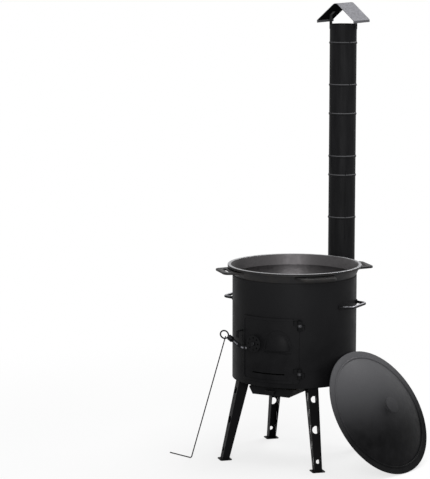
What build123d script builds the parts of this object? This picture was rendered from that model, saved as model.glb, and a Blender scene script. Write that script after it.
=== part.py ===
from build123d import *
import math
import os

# Free-standing wood stove with a cast iron cauldron seated in its open top.
# Millimetres, +Z up. The door faces -Y, the flue stands at the back, the floor is at zero.
# Angles are in degrees about the stove's upright axis, from the door's middle towards +X.

# Shared clearances and cutting overrun
fit_gap = 0.3
weld_gap = 0.1
running_gap = 0.06
seat_gap = 0.14
overrun = 20.0
quarter_turn_angle = 90.0
half_turn_angle = 180.0
full_turn_angle = 360.0

# Fire chamber: a rolled sheet drum with a floor plate and a loose grate
shell_radius = 218.0
shell_wall = 2.0
body_bottom = 284.5
body_height = 364.5
floor_wall = 3.0
hearth_slot_width = 150.0
hearth_slot_length = 230.0
grate_thickness = 9.0
grate_margin = 10.0
grate_bar = 11.0
grate_gap = 9.0
grate_corner = 8.0

# Fire door: a curved sheet hung on two lift-off hinges
door_angle = 1.7
door_width = 214.0
door_lift = 17.5
door_height = 226.0
door_wall = 2.0
door_gap = 0.5
door_corner = 9.0
door_lap = 10.0
hem_width = 9.0
hem_rise = 1.6

# Pressed air hood on the door, the sill rib under it and the low air slot
hood_angle = 11.1
hood_width = 90.0
hood_lift = 115.0
hood_height = 61.5
hood_depth = 11.0
hood_wall = 1.6
hood_band = 6.5
hood_band_wall = 2.0
air_hole_width = 48.0
air_hole_height = 26.0
air_hole_lift = 9.0
air_hole_corner = 5.0
sill_drop = 10.0
sill_width = 96.0
sill_radius = 2.6
slot_lift = 31.0
slot_width = 122.0
slot_opening = 4.0

# Lift-off hinges
hinge_angle = 31.0
hinge_inset = {"upper": 22.0, "lower": 36.0}
hinge_radius = 8.0
hinge_half_height = 18.0
hinge_dome = 3.0
hinge_pin_radius = 4.0
hinge_pin_length = 14.0
hinge_stand = 0.5
hinge_wing = 19.0
hinge_wing_wall = 5.0
hinge_side_gap = 1.5
hinge_foot = 14.0

# Latch: rosette, pivot bolt, lever with ribbed grip and ring, and the keeper it swings up behind
latch_angle = -10.6
latch_lift = 133.0
boss_radius = 11.0
boss_height = 8.0
lever_wall = 3.5
lever_width = 13.0
lever_eye_radius = 12.0
lever_knee_drop = 19.5
lever_knee_reach = 36.0
lever_elbow_drop = 18.0
lever_elbow_reach = 58.0
lever_bend = 12.0
ring_reach = 127.0
ring_rise = 18.0
ring_radius = 14.5
ring_wire_radius = 2.6
ring_splay_angle = 24.0
grip_radius = 10.0
grip_groove = 1.6
grip_length = 20.0
grip_grooves = 5
tang_radius = 3.6
rosette_radius = 29.5
rosette_wall = 2.0
rosette_dish = 3.0
rosette_hole_circle = 20.5
rosette_hole_radius = 3.2
rosette_holes = 8
bolt_radius = 4.0
bolt_head_radius = 7.5
bolt_head_height = 5.5
bolt_head_chamfer = 1.1
keeper_edge_gap = 1.2
keeper_width = 8.0
keeper_wall = 3.0
keeper_lip = 24.0
keeper_drop = 18.0
keeper_rise = 37.0
keeper_gap = 1.0
keeper_corner = 3.0

# Side handles
handle_drop = 92.0
handle_reach = 32.0
handle_bar_half = 52.0
handle_foot_half = 68.0
handle_rod_radius = 5.0
handle_bend = 14.0
handle_weld_radius = 8.0
handle_weld_wall = 2.0

# Splayed channel legs
leg_angle = 45.0
leg_top_inset = 11.0
leg_splay = 61.0
leg_top_width = 37.0
leg_foot_width = 27.0
leg_top_depth = 38.0
leg_foot_depth = 25.0
leg_wall = 2.0
leg_hole_radii = (11.0, 13.0, 7.0)
leg_hole_height_shares = (0.86, 0.5, 0.125)
leg_slot_count = 5
leg_slot_length = 36.0
leg_slot_width = 6.5
leg_slot_low_share = 0.12
leg_slot_high_share = 0.88
leg_tab_wall = 3.0
leg_tab_extra = 6.0
foot_width = 46.0
foot_depth = 42.0
foot_wall = 3.0
foot_corner = 6.0
leg_bolt_radius = 3.0
leg_bolt_spread = 15.0
leg_bolt_inset = 20.0
leg_bolt_head_radius = 5.5
leg_bolt_head_height = 4.0
leg_bolt_hole_gap = 0.3

# Ash pan under the floor plate, on two angle runners
pan_front_inset = 37.0
pan_length = 300.0
pan_top_half = 76.0
pan_bottom_half = 70.0
pan_depth = 27.5
pan_wall = 1.5
pan_lip = 7.0
pan_head_gap = 10.0
pan_face_half = 84.0
pan_face_bottom_half = 71.0
pan_face_edge = 4.5
pan_face_wall = 2.0
pull_width = 34.0
pull_reach = 14.0
pull_wall = 2.5
pull_height = 12.0
pull_bend = 5.0
runner_wall = 2.0
runner_shelf = 7.0
runner_side_gap = 1.0
runner_start = 24.0
runner_length = 260.0

# Flue: stub, mitred elbow, three pipe sections and a gable rain cap
flue_drop = 89.0
flue_stand = 168.5
pipe_radius = 48.8
pipe_wall = 1.4
stub_length = 50.0
elbow_bend = 96.0
elbow_gores = 3
pipe_seam_rises = (166.0, 424.0, 665.0, 947.0)
bead_rises = (244.7, 400.1, 468.6, 623.4, 727.7, 879.6)
spigot_length = 45.0
spigot_taper = 4.0
bead_radius = 4.5
bead_rise = 2.0
cap_rise = 80.0
cap_half_length = 68.7
cap_half_span = 72.0
cap_eave_drop = 65.5
cap_lip = 9.0
cap_wall = 1.6
cap_ridge_bend = 14.0
tab_width = 21.0
tab_wall = 1.6
tab_overlap = 18.0
tab_flange = 17.0
tab_bend = 2.0
rivet_radius = 3.2
rivet_height = 1.8
rivet_crown = 1.1

# Cauldron
rim_overhang = 17.0
rim_lip = 11.0
rim_height = 8.0
rim_step = 8.0
rim_above_shell = 36.0
bowl_depth = 221.0
bowl_wall = 5.0
bowl_foot_radius = 30.0
rim_edge_radius = 1.6
ear_angle = 45.0
ear_drop = 12.0
ear_thickness = 7.0
ear_reach = 40.0
ear_root_width = 150.0
ear_tip_width = 118.0
ear_root_inset = 35.0
ear_corner = 20.0
ear_edge_radius = 1.5
ear_slot_length = 76.0
ear_slot_width = 14.0
ear_slot_reach = 14.0

# Lid, leaning on the stove's right side
lid_rim_inset = 6.0
lid_brim = 24.0
lid_wall = 4.5
lid_dome_rise = 42.0
lid_dome_mid_share = 0.73
lid_edge_chamfer = 1.2
lid_bead_radius = 3.5
lid_ring_gap = 15.0
lid_ring_wall = 5.0
lid_ring_depth = 7.0
lid_lean_angle = 31.8
lid_facing_angle = 77.4
lid_side_offset = 47.0
knob_radius = 28.5
knob_thickness = 7.0
knob_edge = 2.5
knob_stem_radius = 9.5
knob_foot_radius = 12.5
knob_height = 25.0
knob_screw_radius = 3.0
knob_screw_head_radius = 6.5
knob_screw_head_height = 3.5
knob_screw_grip = 14.0

# Poker, leaning on the front of the lever's ring
poker_rod_radius = 2.0
poker_top_length = 7.0
poker_corner_reach = 150.0
poker_corner_angle = -51.9
poker_toe_reach = 221.0
poker_toe_angle = -63.6
poker_bend = 9.0

# Worked out from the sizes above
shell_inner = shell_radius - shell_wall
body_top = body_bottom + body_height
floor_top = body_bottom + floor_wall
door_low = body_bottom + door_lift
door_inner = shell_radius + door_gap
door_outer = door_inner + door_wall
door_high = door_low + door_height
hood_low = door_low + hood_lift
slot_height = door_low + slot_lift
hinge_heights = {"upper": door_high - hinge_inset["upper"], "lower": door_low + hinge_inset["lower"]}
latch_height = door_low + latch_lift
lever_back = door_outer + boss_height
lever_face = lever_back + lever_wall
hinge_distance = door_outer + hinge_stand + hinge_radius
handle_height = body_top - handle_drop
leg_top_radius = shell_radius - leg_top_inset
leg_foot_radius = leg_top_radius + leg_splay
flue_height = body_top - flue_drop
flue_offset = shell_radius + flue_stand
pipe_inner = pipe_radius - pipe_wall
spigot_radius = pipe_inner - fit_gap
rim_top = body_top + rim_above_shell
rim_radius = shell_radius + rim_overhang
ear_tip_radius = rim_radius + ear_reach
ear_root_radius = rim_radius - ear_root_inset
ear_slot_radius = rim_radius + ear_slot_reach
lid_radius = rim_radius - lid_rim_inset
lid_ring_radius = rim_radius - rim_lip - lid_ring_gap
seat_radius = shell_inner - seat_gap
pan_top = body_bottom - pan_head_gap
pan_front = shell_radius - pan_front_inset
pipe_seams = [flue_height + rise for rise in pipe_seam_rises]
bead_heights = [flue_height + rise for rise in bead_rises]
pipe_base = pipe_seams[0]
pipe_top = pipe_seams[-1]
cap_ridge = pipe_top + cap_rise
front_reach = shell_radius + boss_height + lever_wall + overrun
poker_corner_radius = shell_radius + poker_corner_reach
poker_toe_radius = shell_radius + poker_toe_reach


def turned(piece, angle):
    """Turn a piece that was made at the front about the stove's axis."""
    return Rot(0, 0, angle) * piece


def corner_angles(first):
    """Angles of four like pieces, one in each corner, from the front right one's angle."""
    return {
        "front_right": first,
        "back_right": half_turn_angle - first,
        "back_left": first - half_turn_angle,
        "front_left": -first,
    }


def disc(radius, low, high):
    """Upright solid cylinder about the stove's axis."""
    return extrude(Pos(0, 0, low) * Circle(radius), high - low)


def tube(outer, inner, low, high):
    """Upright tube about the stove's axis."""
    return extrude(Pos(0, 0, low) * (Circle(outer) - Circle(inner)), high - low)


def front_prism(outline, height, near, far):
    """Push a front view outline outwards, between two distances from the axis."""
    return extrude(Pos(0, -near, height) * Rot(90, 0, 0) * outline, far - near)


def front_block(width, low, high, corner):
    """Rounded window that runs from the stove's axis out past the door."""
    outline = RectangleRounded(width, high - low, corner)
    return front_prism(outline, (low + high) / 2, 0, front_reach)


def front_rod(radius, place, height, near, far):
    """Round rod pointing outwards at the front."""
    return front_prism(Pos(place, 0) * Circle(radius), height, near, far)


def side_section(outline, start, length):
    """Push a section drawn in X and Z along Y, from one place for a length."""
    return extrude(Pos(0, start + length, 0) * Rot(90, 0, 0) * outline, length)


def spun(outline):
    """Spin a section drawn as radius and height about the upright axis."""
    return revolve(Rot(90, 0, 0) * outline, Axis.Z)


def closed_face(points):
    """Flat face inside a ring of straight edges."""
    return make_face(Polyline(*points, close=True))


def save(piece, node):
    """Write one piece to its own file."""
    export_step(piece, "parts/" + node + ".step")


def make_shell():
    """Rolled drum with the door opening and the flue hole."""
    shell = tube(shell_radius, shell_inner, body_bottom, body_top)
    window = front_block(door_width - 2 * door_lap, door_low + door_lap, door_high - door_lap, door_corner)
    shell -= turned(window, door_angle)
    hole = Circle(spigot_radius - pipe_wall)
    return shell - extrude(Pos(0, 0, flue_height) * Rot(-90, 0, 0) * hole, front_reach)


def leg_bolt_places():
    """Plan places of the bolts that hold the legs, two for each leg."""
    places = []
    for angle in corner_angles(leg_angle).values():
        for side in (-1, 1):
            here = Rot(0, 0, angle) * Pos(side * leg_bolt_spread / 2, leg_bolt_inset - leg_top_radius, 0)
            places.append(here)
    return places


def make_floor():
    """Floor plate with the ash slot and the leg bolt holes."""
    plate = disc(shell_inner - weld_gap, body_bottom, floor_top)
    slot = RectangleRounded(hearth_slot_width, hearth_slot_length, grate_corner)
    plate -= extrude(Pos(0, 0, body_bottom) * slot, floor_wall)
    for place in leg_bolt_places():
        hole = Circle(leg_bolt_radius + leg_bolt_hole_gap)
        plate -= Pos(0, 0, body_bottom) * place * extrude(hole, floor_wall)
    return plate


def make_grate():
    """Cast grate with a row of slots, lying over the ash slot."""
    width = hearth_slot_width + 2 * grate_margin
    length = hearth_slot_length + 2 * grate_margin
    grate = RectangleRounded(width, length, grate_corner)
    pitch = grate_bar + grate_gap
    count = int((hearth_slot_length - grate_bar) / pitch)
    half_slot = (hearth_slot_width - 3 * grate_bar) / 2
    for row in range(count):
        place = (row - (count - 1) / 2) * pitch
        for side in (-1, 1):
            centre = side * (half_slot + grate_bar) / 2
            grate -= Pos(centre, place) * SlotOverall(half_slot, grate_gap)
    return extrude(Pos(0, 0, floor_top) * grate, grate_thickness)


def make_door_skin():
    """Curved door sheet with a raised hem, air holes and the sill rib."""
    window = front_block(door_width, door_low, door_high, door_corner)
    skin = tube(door_outer, door_inner, door_low, door_high) & window
    hem_ring = tube(door_outer + hem_rise, door_outer - door_wall / 2, door_low, door_high) & window
    hem_inside = front_block(
        door_width - 2 * hem_width, door_low + hem_width, door_high - hem_width, door_corner
    )
    hinge_side = Pos(front_reach, 0, 0) * front_block(
        front_reach * 2 - door_width + 4 * hem_width, 0, body_top, door_corner
    )
    skin += (hem_ring - hem_inside) - hinge_side
    skin = turned(skin, door_angle)
    hole_low = hood_low + air_hole_lift
    air_hole = front_block(air_hole_width, hole_low, hole_low + air_hole_height, air_hole_corner)
    skin -= turned(air_hole, hood_angle)
    low_slot = SlotOverall(slot_width, slot_opening)
    skin -= turned(front_prism(low_slot, slot_height, 0, front_reach), door_angle)
    sill_height = hood_low - sill_drop
    sill = Pos(0, 0, sill_height) * Torus(door_outer, sill_radius)
    ends = front_block(sill_width, sill_height - overrun, sill_height + overrun, sill_radius)
    sill &= turned(ends, hood_angle)
    sill -= disc(door_outer - door_wall / 2, sill_height - overrun, sill_height + overrun)
    skin += sill
    return skin - front_rod_hole()


def front_rod_hole():
    """Hole through the door for the latch's pivot bolt."""
    hole = front_rod(bolt_radius + running_gap, 0, latch_height, 0, front_reach)
    return turned(hole, latch_angle)


def arch_outline(width, height):
    """Arch with a flat foot, drawn about the middle of its foot."""
    half = width / 2
    arch = EllipticalCenterArc((0, 0), half, height, start_angle=0, arc_size=half_turn_angle)
    return make_face([arch, Line((-half, 0), (half, 0))])


def make_air_hood():
    """Pressed half dome, open below, with a flat band round its arch."""
    near = shell_radius / 2
    half = hood_width / 2
    base = math.sqrt(door_outer**2 - half**2)
    depth = door_outer - base + hood_depth
    place = Pos(0, -base, hood_low)
    dome = place * scale(Sphere(1), by=(half, depth, hood_height))
    hollow = place * scale(Sphere(1), by=(half - hood_wall, depth - hood_wall, hood_height - hood_wall))
    above = arch_outline(hood_width + overrun, hood_height + overrun)
    dome &= front_prism(above, hood_low, near, front_reach)
    dome -= disc(door_outer + weld_gap, body_bottom, body_top)
    band = arch_outline(hood_width + 2 * hood_band, hood_height + hood_band)
    flange = front_prism(band, hood_low, near, front_reach)
    flange &= tube(door_outer + weld_gap + hood_band_wall, door_outer + weld_gap, body_bottom, body_top)
    return turned(dome + flange - hollow, hood_angle)


def hinge_bottom(name):
    """Height of the underside of one hinge."""
    return hinge_heights[name] - hinge_half_height


def make_hinge_pin(name):
    """Lower hinge half: a barrel with a pin, on a foot that meets the shell."""
    low = hinge_bottom(name)
    top = low + hinge_half_height - fit_gap / 2
    barrel = Pos(0, -hinge_distance) * disc(hinge_radius, low, top)
    edges = barrel.edges().group_by(Axis.Z)[0]
    barrel = fillet(edges, hinge_dome)
    foot_height = top - low - hinge_dome
    foot_place = Pos(hinge_side_gap + hinge_foot / 2, -hinge_distance + hinge_radius, top - foot_height / 2)
    foot = foot_place * Box(hinge_foot, 2 * hinge_radius, foot_height)
    pin = Pos(0, -hinge_distance) * disc(hinge_pin_radius, top, top + hinge_pin_length)
    piece = (barrel + foot) - disc(shell_radius, body_bottom, body_top)
    return turned(piece + pin, hinge_angle)


def make_hinge_sleeve(name):
    """Upper hinge half: a capped barrel over the pin, on a wing that meets the door."""
    middle = hinge_heights[name]
    low = middle + fit_gap / 2
    top = low + hinge_half_height
    barrel = Pos(0, -hinge_distance) * disc(hinge_radius, low, top)
    barrel = fillet(barrel.edges().group_by(Axis.Z)[-1], hinge_dome)
    wing_far = door_outer + hinge_stand + hinge_wing_wall
    wing = Pos(-hinge_wing / 2, -wing_far / 2, (low + top - hinge_dome) / 2) * Box(
        hinge_wing, wing_far, top - hinge_dome - low
    )
    piece = barrel + wing - disc(door_outer, body_bottom, body_top)
    bore_depth = hinge_pin_length + fit_gap
    piece -= Pos(0, -hinge_distance) * disc(hinge_pin_radius + running_gap, low, low + bore_depth)
    return turned(piece, hinge_angle)


def make_latch_boss():
    """Round boss on the door that carries the latch's pivot."""
    boss = front_rod(boss_radius, 0, latch_height, shell_radius / 2, lever_back - fit_gap)
    boss -= disc(door_outer, body_bottom, body_top)
    boss -= front_rod(bolt_radius + running_gap, 0, latch_height, 0, front_reach)
    return turned(boss, latch_angle)


def make_rosette():
    """Dished rosette with a ring of holes, clamped under the bolt's head."""
    near = lever_face + fit_gap
    outline = Circle(rosette_radius) - Circle(bolt_radius + running_gap)
    for hole in range(rosette_holes):
        turn = full_turn_angle * hole / rosette_holes
        outline -= Rot(0, 0, turn) * Pos(rosette_hole_circle, 0) * Circle(rosette_hole_radius)
    plate = front_prism(outline, latch_height, near, near + rosette_dish)
    hollow = Circle(rosette_radius - rosette_wall) - Circle(lever_eye_radius)
    plate -= front_prism(hollow, latch_height, near, near + rosette_dish - rosette_wall)
    return turned(plate, latch_angle)


def make_pivot_bolt():
    """Bolt through the rosette, lever, boss and door, with its nut inside the door."""
    near = lever_face + fit_gap + rosette_dish
    head = RegularPolygon(bolt_head_radius, 6)
    bolt = front_prism(head, latch_height, near, near + bolt_head_height)
    bolt = chamfer(bolt.edges().group_by(Axis.Y)[0], bolt_head_chamfer)
    nut_far = math.sqrt(door_inner**2 - bolt_head_radius**2) - weld_gap
    shank = front_rod(bolt_radius, 0, latch_height, nut_far - bolt_head_height, near)
    nut = front_prism(head, latch_height, nut_far - bolt_head_height, nut_far)
    return turned(bolt + shank + nut, latch_angle)


def lever_points():
    """Middle line of the lever in the front view: pivot, knee, elbow and ring."""
    return [
        (0, 0),
        (-lever_knee_reach, -lever_knee_drop),
        (-lever_elbow_reach, -lever_elbow_drop),
        (-ring_reach, ring_rise),
    ]


def grip_frame():
    """Frame on the lever's last stretch, with its X axis towards the ring."""
    start = Vector(-lever_elbow_reach, -lever_elbow_drop)
    end = Vector(-ring_reach, ring_rise)
    run = end - start
    length = run.length - ring_radius
    turn = math.degrees(math.atan2(run.Y, run.X))
    return start, turn, length


def lever_front():
    """Place of the lever's middle plane seen from the front, with its X axis towards the ring."""
    start, turn, length = grip_frame()
    middle = (lever_back + lever_face) / 2
    return Pos(0, -middle, latch_height) * Rot(90, 0, 0) * Pos(start.X, start.Y) * Rot(0, 0, turn)


def ring_place():
    """Place of the ring's middle, which is splayed outwards for the fingers."""
    start, turn, length = grip_frame()
    return lever_front() * Pos(length, 0, 0) * Rot(0, -ring_splay_angle, 0) * Pos(ring_radius, 0, 0)


def make_lever():
    """Flat cranked lever with a pivot eye, a round tang and a ring at its end."""
    start, turn, length = grip_frame()
    points = lever_points()
    tang_start = length - ring_wire_radius - grip_length - fit_gap
    corner = Pos(start.X, start.Y) * Rot(0, 0, turn) * Pos(tang_start, 0)
    path = FilletPolyline(points[0], points[1], points[2], corner.position, radius=lever_bend)
    bar = trace(path, line_width=lever_width) + Circle(lever_eye_radius)
    bar -= Circle(bolt_radius + running_gap)
    lever = front_prism(bar, latch_height, lever_back, lever_face)
    shank = extrude(Circle(tang_radius), length - tang_start)
    tang = lever_front() * Pos(tang_start, 0, 0) * Rot(0, 90, 0) * shank
    ring = ring_place() * Torus(ring_radius, ring_wire_radius)
    return turned(lever + tang + ring, latch_angle)


def make_grip():
    """Ribbed sleeve on the lever's tang."""
    start, turn, length = grip_frame()
    pitch = grip_length / grip_grooves
    bore = tang_radius + weld_gap
    points = [(bore, 0)]
    for rib in range(grip_grooves):
        points.append((grip_radius - grip_groove, rib * pitch))
        points.append((grip_radius, (rib + 1 / 4) * pitch))
        points.append((grip_radius, (rib + 3 / 4) * pitch))
        points.append((grip_radius - grip_groove, (rib + 1) * pitch))
    points.append((bore, grip_length))
    unique = [points[0]]
    for point in points[1:]:
        if point != unique[-1]:
            unique.append(point)
    sleeve = spun(closed_face(unique))
    seat = length - grip_length - ring_wire_radius
    return turned(lever_front() * Pos(seat, 0, 0) * Rot(0, 90, 0) * sleeve, latch_angle)


def keeper_reach():
    """Distance of the keeper's middle from the latch's pivot, just beyond the door's free edge."""
    edge_turn = math.asin(door_width / 2 / door_inner) + math.radians(latch_angle - door_angle)
    return door_inner * math.sin(edge_turn) + keeper_edge_gap + keeper_width / 2


def make_keeper():
    """Keeper strip on the shell: its top leg stands out and its lip turns down over the lever."""
    lip_near = lever_face + keeper_gap
    lip_far = lip_near + keeper_wall
    keeper_low = latch_height - keeper_drop
    keeper_high = latch_height + keeper_rise
    outline = closed_face([
        (0, keeper_high),
        (lip_far, keeper_high),
        (lip_far, keeper_high - keeper_lip),
        (lip_near, keeper_high - keeper_lip),
        (lip_near, keeper_high - keeper_wall),
        (0, keeper_high - keeper_wall),
    ])
    side_view = Pos(keeper_width / 2 - keeper_reach(), 0, 0) * Rot(0, 0, -90) * Rot(90, 0, 0)
    strip = extrude(side_view * outline, keeper_width)
    corner = strip.edges().filter_by(Axis.X).sort_by(Axis.Y)[:2].sort_by(Axis.Z)[-1]
    strip = fillet(corner, keeper_corner)
    back = tube(shell_radius + keeper_wall, shell_radius, keeper_low, keeper_high)
    back &= Pos(-keeper_reach(), -shell_radius, (keeper_low + keeper_high) / 2) * Box(
        keeper_width, shell_radius, keeper_high - keeper_low
    )
    return turned(strip - disc(shell_radius, body_bottom, body_top) + back, latch_angle)


def make_handle(side):
    """Bent rod loop with weld collars, on the shell's left or right side."""
    bar = shell_radius + handle_reach
    root = shell_inner - overrun / 2
    path = FilletPolyline(
        (-handle_foot_half, -root),
        (-handle_bar_half, -bar),
        (handle_bar_half, -bar),
        (handle_foot_half, -root),
        radius=handle_bend,
    )
    rod = sweep(Plane(origin=path @ 0, z_dir=path % 0) * Circle(handle_rod_radius), path=path)
    weld = sweep(Plane(origin=path @ 0, z_dir=path % 0) * Circle(handle_weld_radius), path=path)
    weld &= disc(shell_radius + handle_weld_wall, -handle_weld_radius, handle_weld_radius)
    loop = Pos(0, 0, handle_height) * (rod + weld)
    return turned(loop - disc(shell_radius, body_bottom, body_top), side * quarter_turn_angle)


def leg_section(place, width, depth, height):
    """Channel section across a leg, open towards the stove's axis."""
    outer = Pos(0, -place + depth / 2) * Rectangle(width, depth)
    inner = Pos(0, -place + leg_wall + depth / 2) * Rectangle(width - 2 * leg_wall, depth)
    return Pos(0, 0, height) * (outer - inner)


def leg_share(top_value, foot_value, share):
    """Size at a share of the leg's height above the floor."""
    return foot_value + (top_value - foot_value) * share


def make_leg(angle):
    """Tapered channel leg with a top tab, a foot plate and its lightening holes."""
    top = leg_section(leg_top_radius, leg_top_width, leg_top_depth, body_bottom)
    foot = leg_section(leg_foot_radius, leg_foot_width, leg_foot_depth, foot_wall)
    leg = loft([top.face(), foot.face()], ruled=True)
    for radius, share in zip(leg_hole_radii, leg_hole_height_shares):
        web = leg_share(leg_top_radius, leg_foot_radius, share)
        leg -= front_rod(radius, 0, body_bottom * share, web - overrun / 2, web + overrun / 2)
    lean = math.degrees(math.atan2(leg_foot_radius - leg_top_radius, body_bottom - foot_wall))
    step = (leg_slot_high_share - leg_slot_low_share) / (leg_slot_count - 1)
    for slot in range(leg_slot_count):
        share = leg_slot_low_share + slot * step
        web = leg_share(leg_top_radius, leg_foot_radius, share)
        place = web - leg_share(leg_top_depth, leg_foot_depth, share) / 2
        cutter = extrude(SlotOverall(leg_slot_length, leg_slot_width), leg_top_width)
        leg -= Pos(0, -place, body_bottom * share) * Rot(lean, 0, 0) * Rot(0, -90, 0) * cutter
    tab_depth = leg_top_depth + leg_tab_extra
    tab = Pos(0, -leg_top_radius + leg_wall / 2 + tab_depth / 2, body_bottom - leg_tab_wall / 2) * Box(
        leg_top_width - leg_wall, tab_depth, leg_tab_wall
    )
    for side in (-1, 1):
        hole = Circle(leg_bolt_radius + leg_bolt_hole_gap)
        place = Pos(side * leg_bolt_spread / 2, leg_bolt_inset - leg_top_radius, body_bottom - leg_tab_wall)
        tab -= place * extrude(hole, leg_tab_wall)
    foot_place = leg_foot_radius - leg_foot_depth / 2
    plate = Pos(0, -foot_place, 0) * extrude(RectangleRounded(foot_width, foot_depth, foot_corner), foot_wall)
    return turned(leg + tab + plate, angle)


def make_leg_bolts():
    """Hexagon bolts and nuts that clamp the leg tabs to the floor plate."""
    bolts = []
    head = RegularPolygon(leg_bolt_head_radius, 6)
    tab_low = body_bottom - leg_tab_wall
    for place in leg_bolt_places():
        bolt = Pos(0, 0, tab_low - leg_bolt_head_height) * extrude(head, leg_bolt_head_height)
        bolt += Pos(0, 0, tab_low) * extrude(Circle(leg_bolt_radius), leg_tab_wall + floor_wall)
        bolt += Pos(0, 0, floor_top) * extrude(head, leg_bolt_head_height)
        bolts.append(place * bolt)
    return Compound(children=[bolt.solid() for bolt in bolts])


def make_pan():
    """Open sheet pan with side lips and a bevelled front plate."""
    low = pan_top - pan_depth
    outer = closed_face([
        (-pan_top_half, pan_top),
        (-pan_bottom_half, low),
        (pan_bottom_half, low),
        (pan_top_half, pan_top),
    ])
    inner = closed_face([
        (-pan_top_half + pan_wall, pan_top),
        (-pan_bottom_half + pan_wall, low + pan_wall),
        (pan_bottom_half - pan_wall, low + pan_wall),
        (pan_top_half - pan_wall, pan_top),
    ])
    start = -pan_front + pan_face_wall
    pan = side_section(outer, start, pan_length)
    pan -= side_section(inner, start + pan_wall, pan_length - 2 * pan_wall)
    for side in (-1, 1):
        lip = Pos(side * (pan_top_half + pan_lip / 2), start + pan_length / 2, pan_top - pan_wall / 2)
        pan += lip * Box(pan_lip + 2 * pan_wall, pan_length, pan_wall)
    face = closed_face([
        (-pan_face_half, pan_top),
        (-pan_face_half, pan_top - pan_face_edge),
        (-pan_face_bottom_half, low),
        (pan_face_bottom_half, low),
        (pan_face_half, pan_top - pan_face_edge),
        (pan_face_half, pan_top),
    ])
    return pan + side_section(face, -pan_front, pan_face_wall)


def make_pan_pull():
    """Bent strap pull on the pan's front plate."""
    half = pull_width / 2
    path = FilletPolyline((-half, 0), (-half, -pull_reach), (half, -pull_reach), (half, 0), radius=pull_bend)
    strap = extrude(trace(path, line_width=pull_wall), pull_height)
    behind = Box(2 * pull_width, pull_reach, 2 * pull_height)
    strap -= Pos(0, pull_reach / 2, pull_height / 2) * behind
    middle = pan_top - pan_depth / 2 - pull_height / 2
    return Pos(0, -pan_front, middle) * strap


def make_runner(side):
    """Angle runner under the floor plate that carries one lip of the pan."""
    inside = pan_top_half + pan_lip + pan_wall + runner_side_gap
    shelf = pan_top - pan_wall - fit_gap
    outline = closed_face([
        (inside, body_bottom),
        (inside + runner_wall, body_bottom),
        (inside + runner_wall, shelf - runner_wall),
        (inside - runner_shelf, shelf - runner_wall),
        (inside - runner_shelf, shelf),
        (inside, shelf),
    ])
    runner = side_section(outline, runner_start - pan_front, runner_length)
    if side < 0:
        return mirror(runner, Plane.YZ)
    return runner


def make_stub():
    """Collar welded to the shell's back, which the elbow slips over."""
    ring = Circle(spigot_radius) - Circle(spigot_radius - pipe_wall)
    stub = extrude(Pos(0, 0, flue_height) * Rot(-90, 0, 0) * ring, shell_radius + stub_length)
    return stub - disc(shell_radius, body_bottom, body_top)


def elbow_path():
    """Mitred middle line of the elbow, from the stub to the pipe's foot."""
    centre_y = flue_offset - elbow_bend
    centre_z = flue_height + elbow_bend
    points = [(0, shell_radius + weld_gap, flue_height)]
    step = quarter_turn_angle / elbow_gores
    reach = elbow_bend / math.cos(math.radians(step / 2))
    for gore in range(elbow_gores):
        turn = math.radians(step * (gore + 1 / 2))
        points.append((0, centre_y + reach * math.sin(turn), centre_z - reach * math.cos(turn)))
    points.append((0, flue_offset, pipe_base))
    return Polyline(*points)


def make_elbow():
    """Elbow of mitred gores that turns the flue upwards."""
    path = elbow_path()
    start = Plane(origin=path @ 0, z_dir=path % 0)
    outer = sweep(start * Circle(pipe_radius), path=path, transition=Transition.RIGHT)
    inner = sweep(start * Circle(pipe_inner), path=path, transition=Transition.RIGHT)
    return outer - inner - disc(shell_radius + weld_gap, body_bottom, body_top)


def make_pipe(section):
    """Pipe section with two rolled beads and a drawn-in spigot at its foot."""
    low = pipe_seams[section]
    top = pipe_seams[section + 1]
    spigot_low = low - spigot_length
    spigot_inner = spigot_radius - pipe_wall
    edges = [
        Line((spigot_inner, spigot_low), (spigot_radius, spigot_low)),
        Line((spigot_radius, spigot_low), (spigot_radius, low)),
        Line((spigot_radius, low), (pipe_radius, low)),
    ]
    here = low
    for bead in bead_heights[2 * section : 2 * section + 2]:
        start = (pipe_radius, bead - bead_radius)
        end = (pipe_radius, bead + bead_radius)
        edges.append(Line((pipe_radius, here), start))
        edges.append(ThreePointArc(start, (pipe_radius + bead_rise, bead), end))
        here = bead + bead_radius
    edges.append(Line((pipe_radius, here), (pipe_radius, top)))
    edges.append(Line((pipe_radius, top), (pipe_inner, top)))
    edges.append(Line((pipe_inner, top), (pipe_inner, low + spigot_taper)))
    edges.append(Line((pipe_inner, low + spigot_taper), (spigot_inner, low)))
    edges.append(Line((spigot_inner, low), (spigot_inner, spigot_low)))
    return Pos(0, flue_offset, 0) * spun(make_face(edges))


def cap_height(place):
    """Height of the cap sheet's middle at a distance from its ridge line."""
    return cap_ridge - cap_eave_drop * place / cap_half_span


def make_cap():
    """Gable rain cap bent from one sheet, with a lip turned down at each eave."""
    eave = cap_ridge - cap_eave_drop
    slopes = [
        (-cap_half_span, eave - cap_lip),
        (-cap_half_span, eave),
        (0, cap_ridge),
        (cap_half_span, eave),
        (cap_half_span, eave - cap_lip),
    ]
    bends = (cap_wall, cap_ridge_bend, cap_wall)
    path = FilletPolyline(*slopes, radius=bends)
    sheet = trace(path, line_width=cap_wall)
    return Pos(0, flue_offset, 0) * side_section(sheet, -cap_half_length, 2 * cap_half_length)


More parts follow.
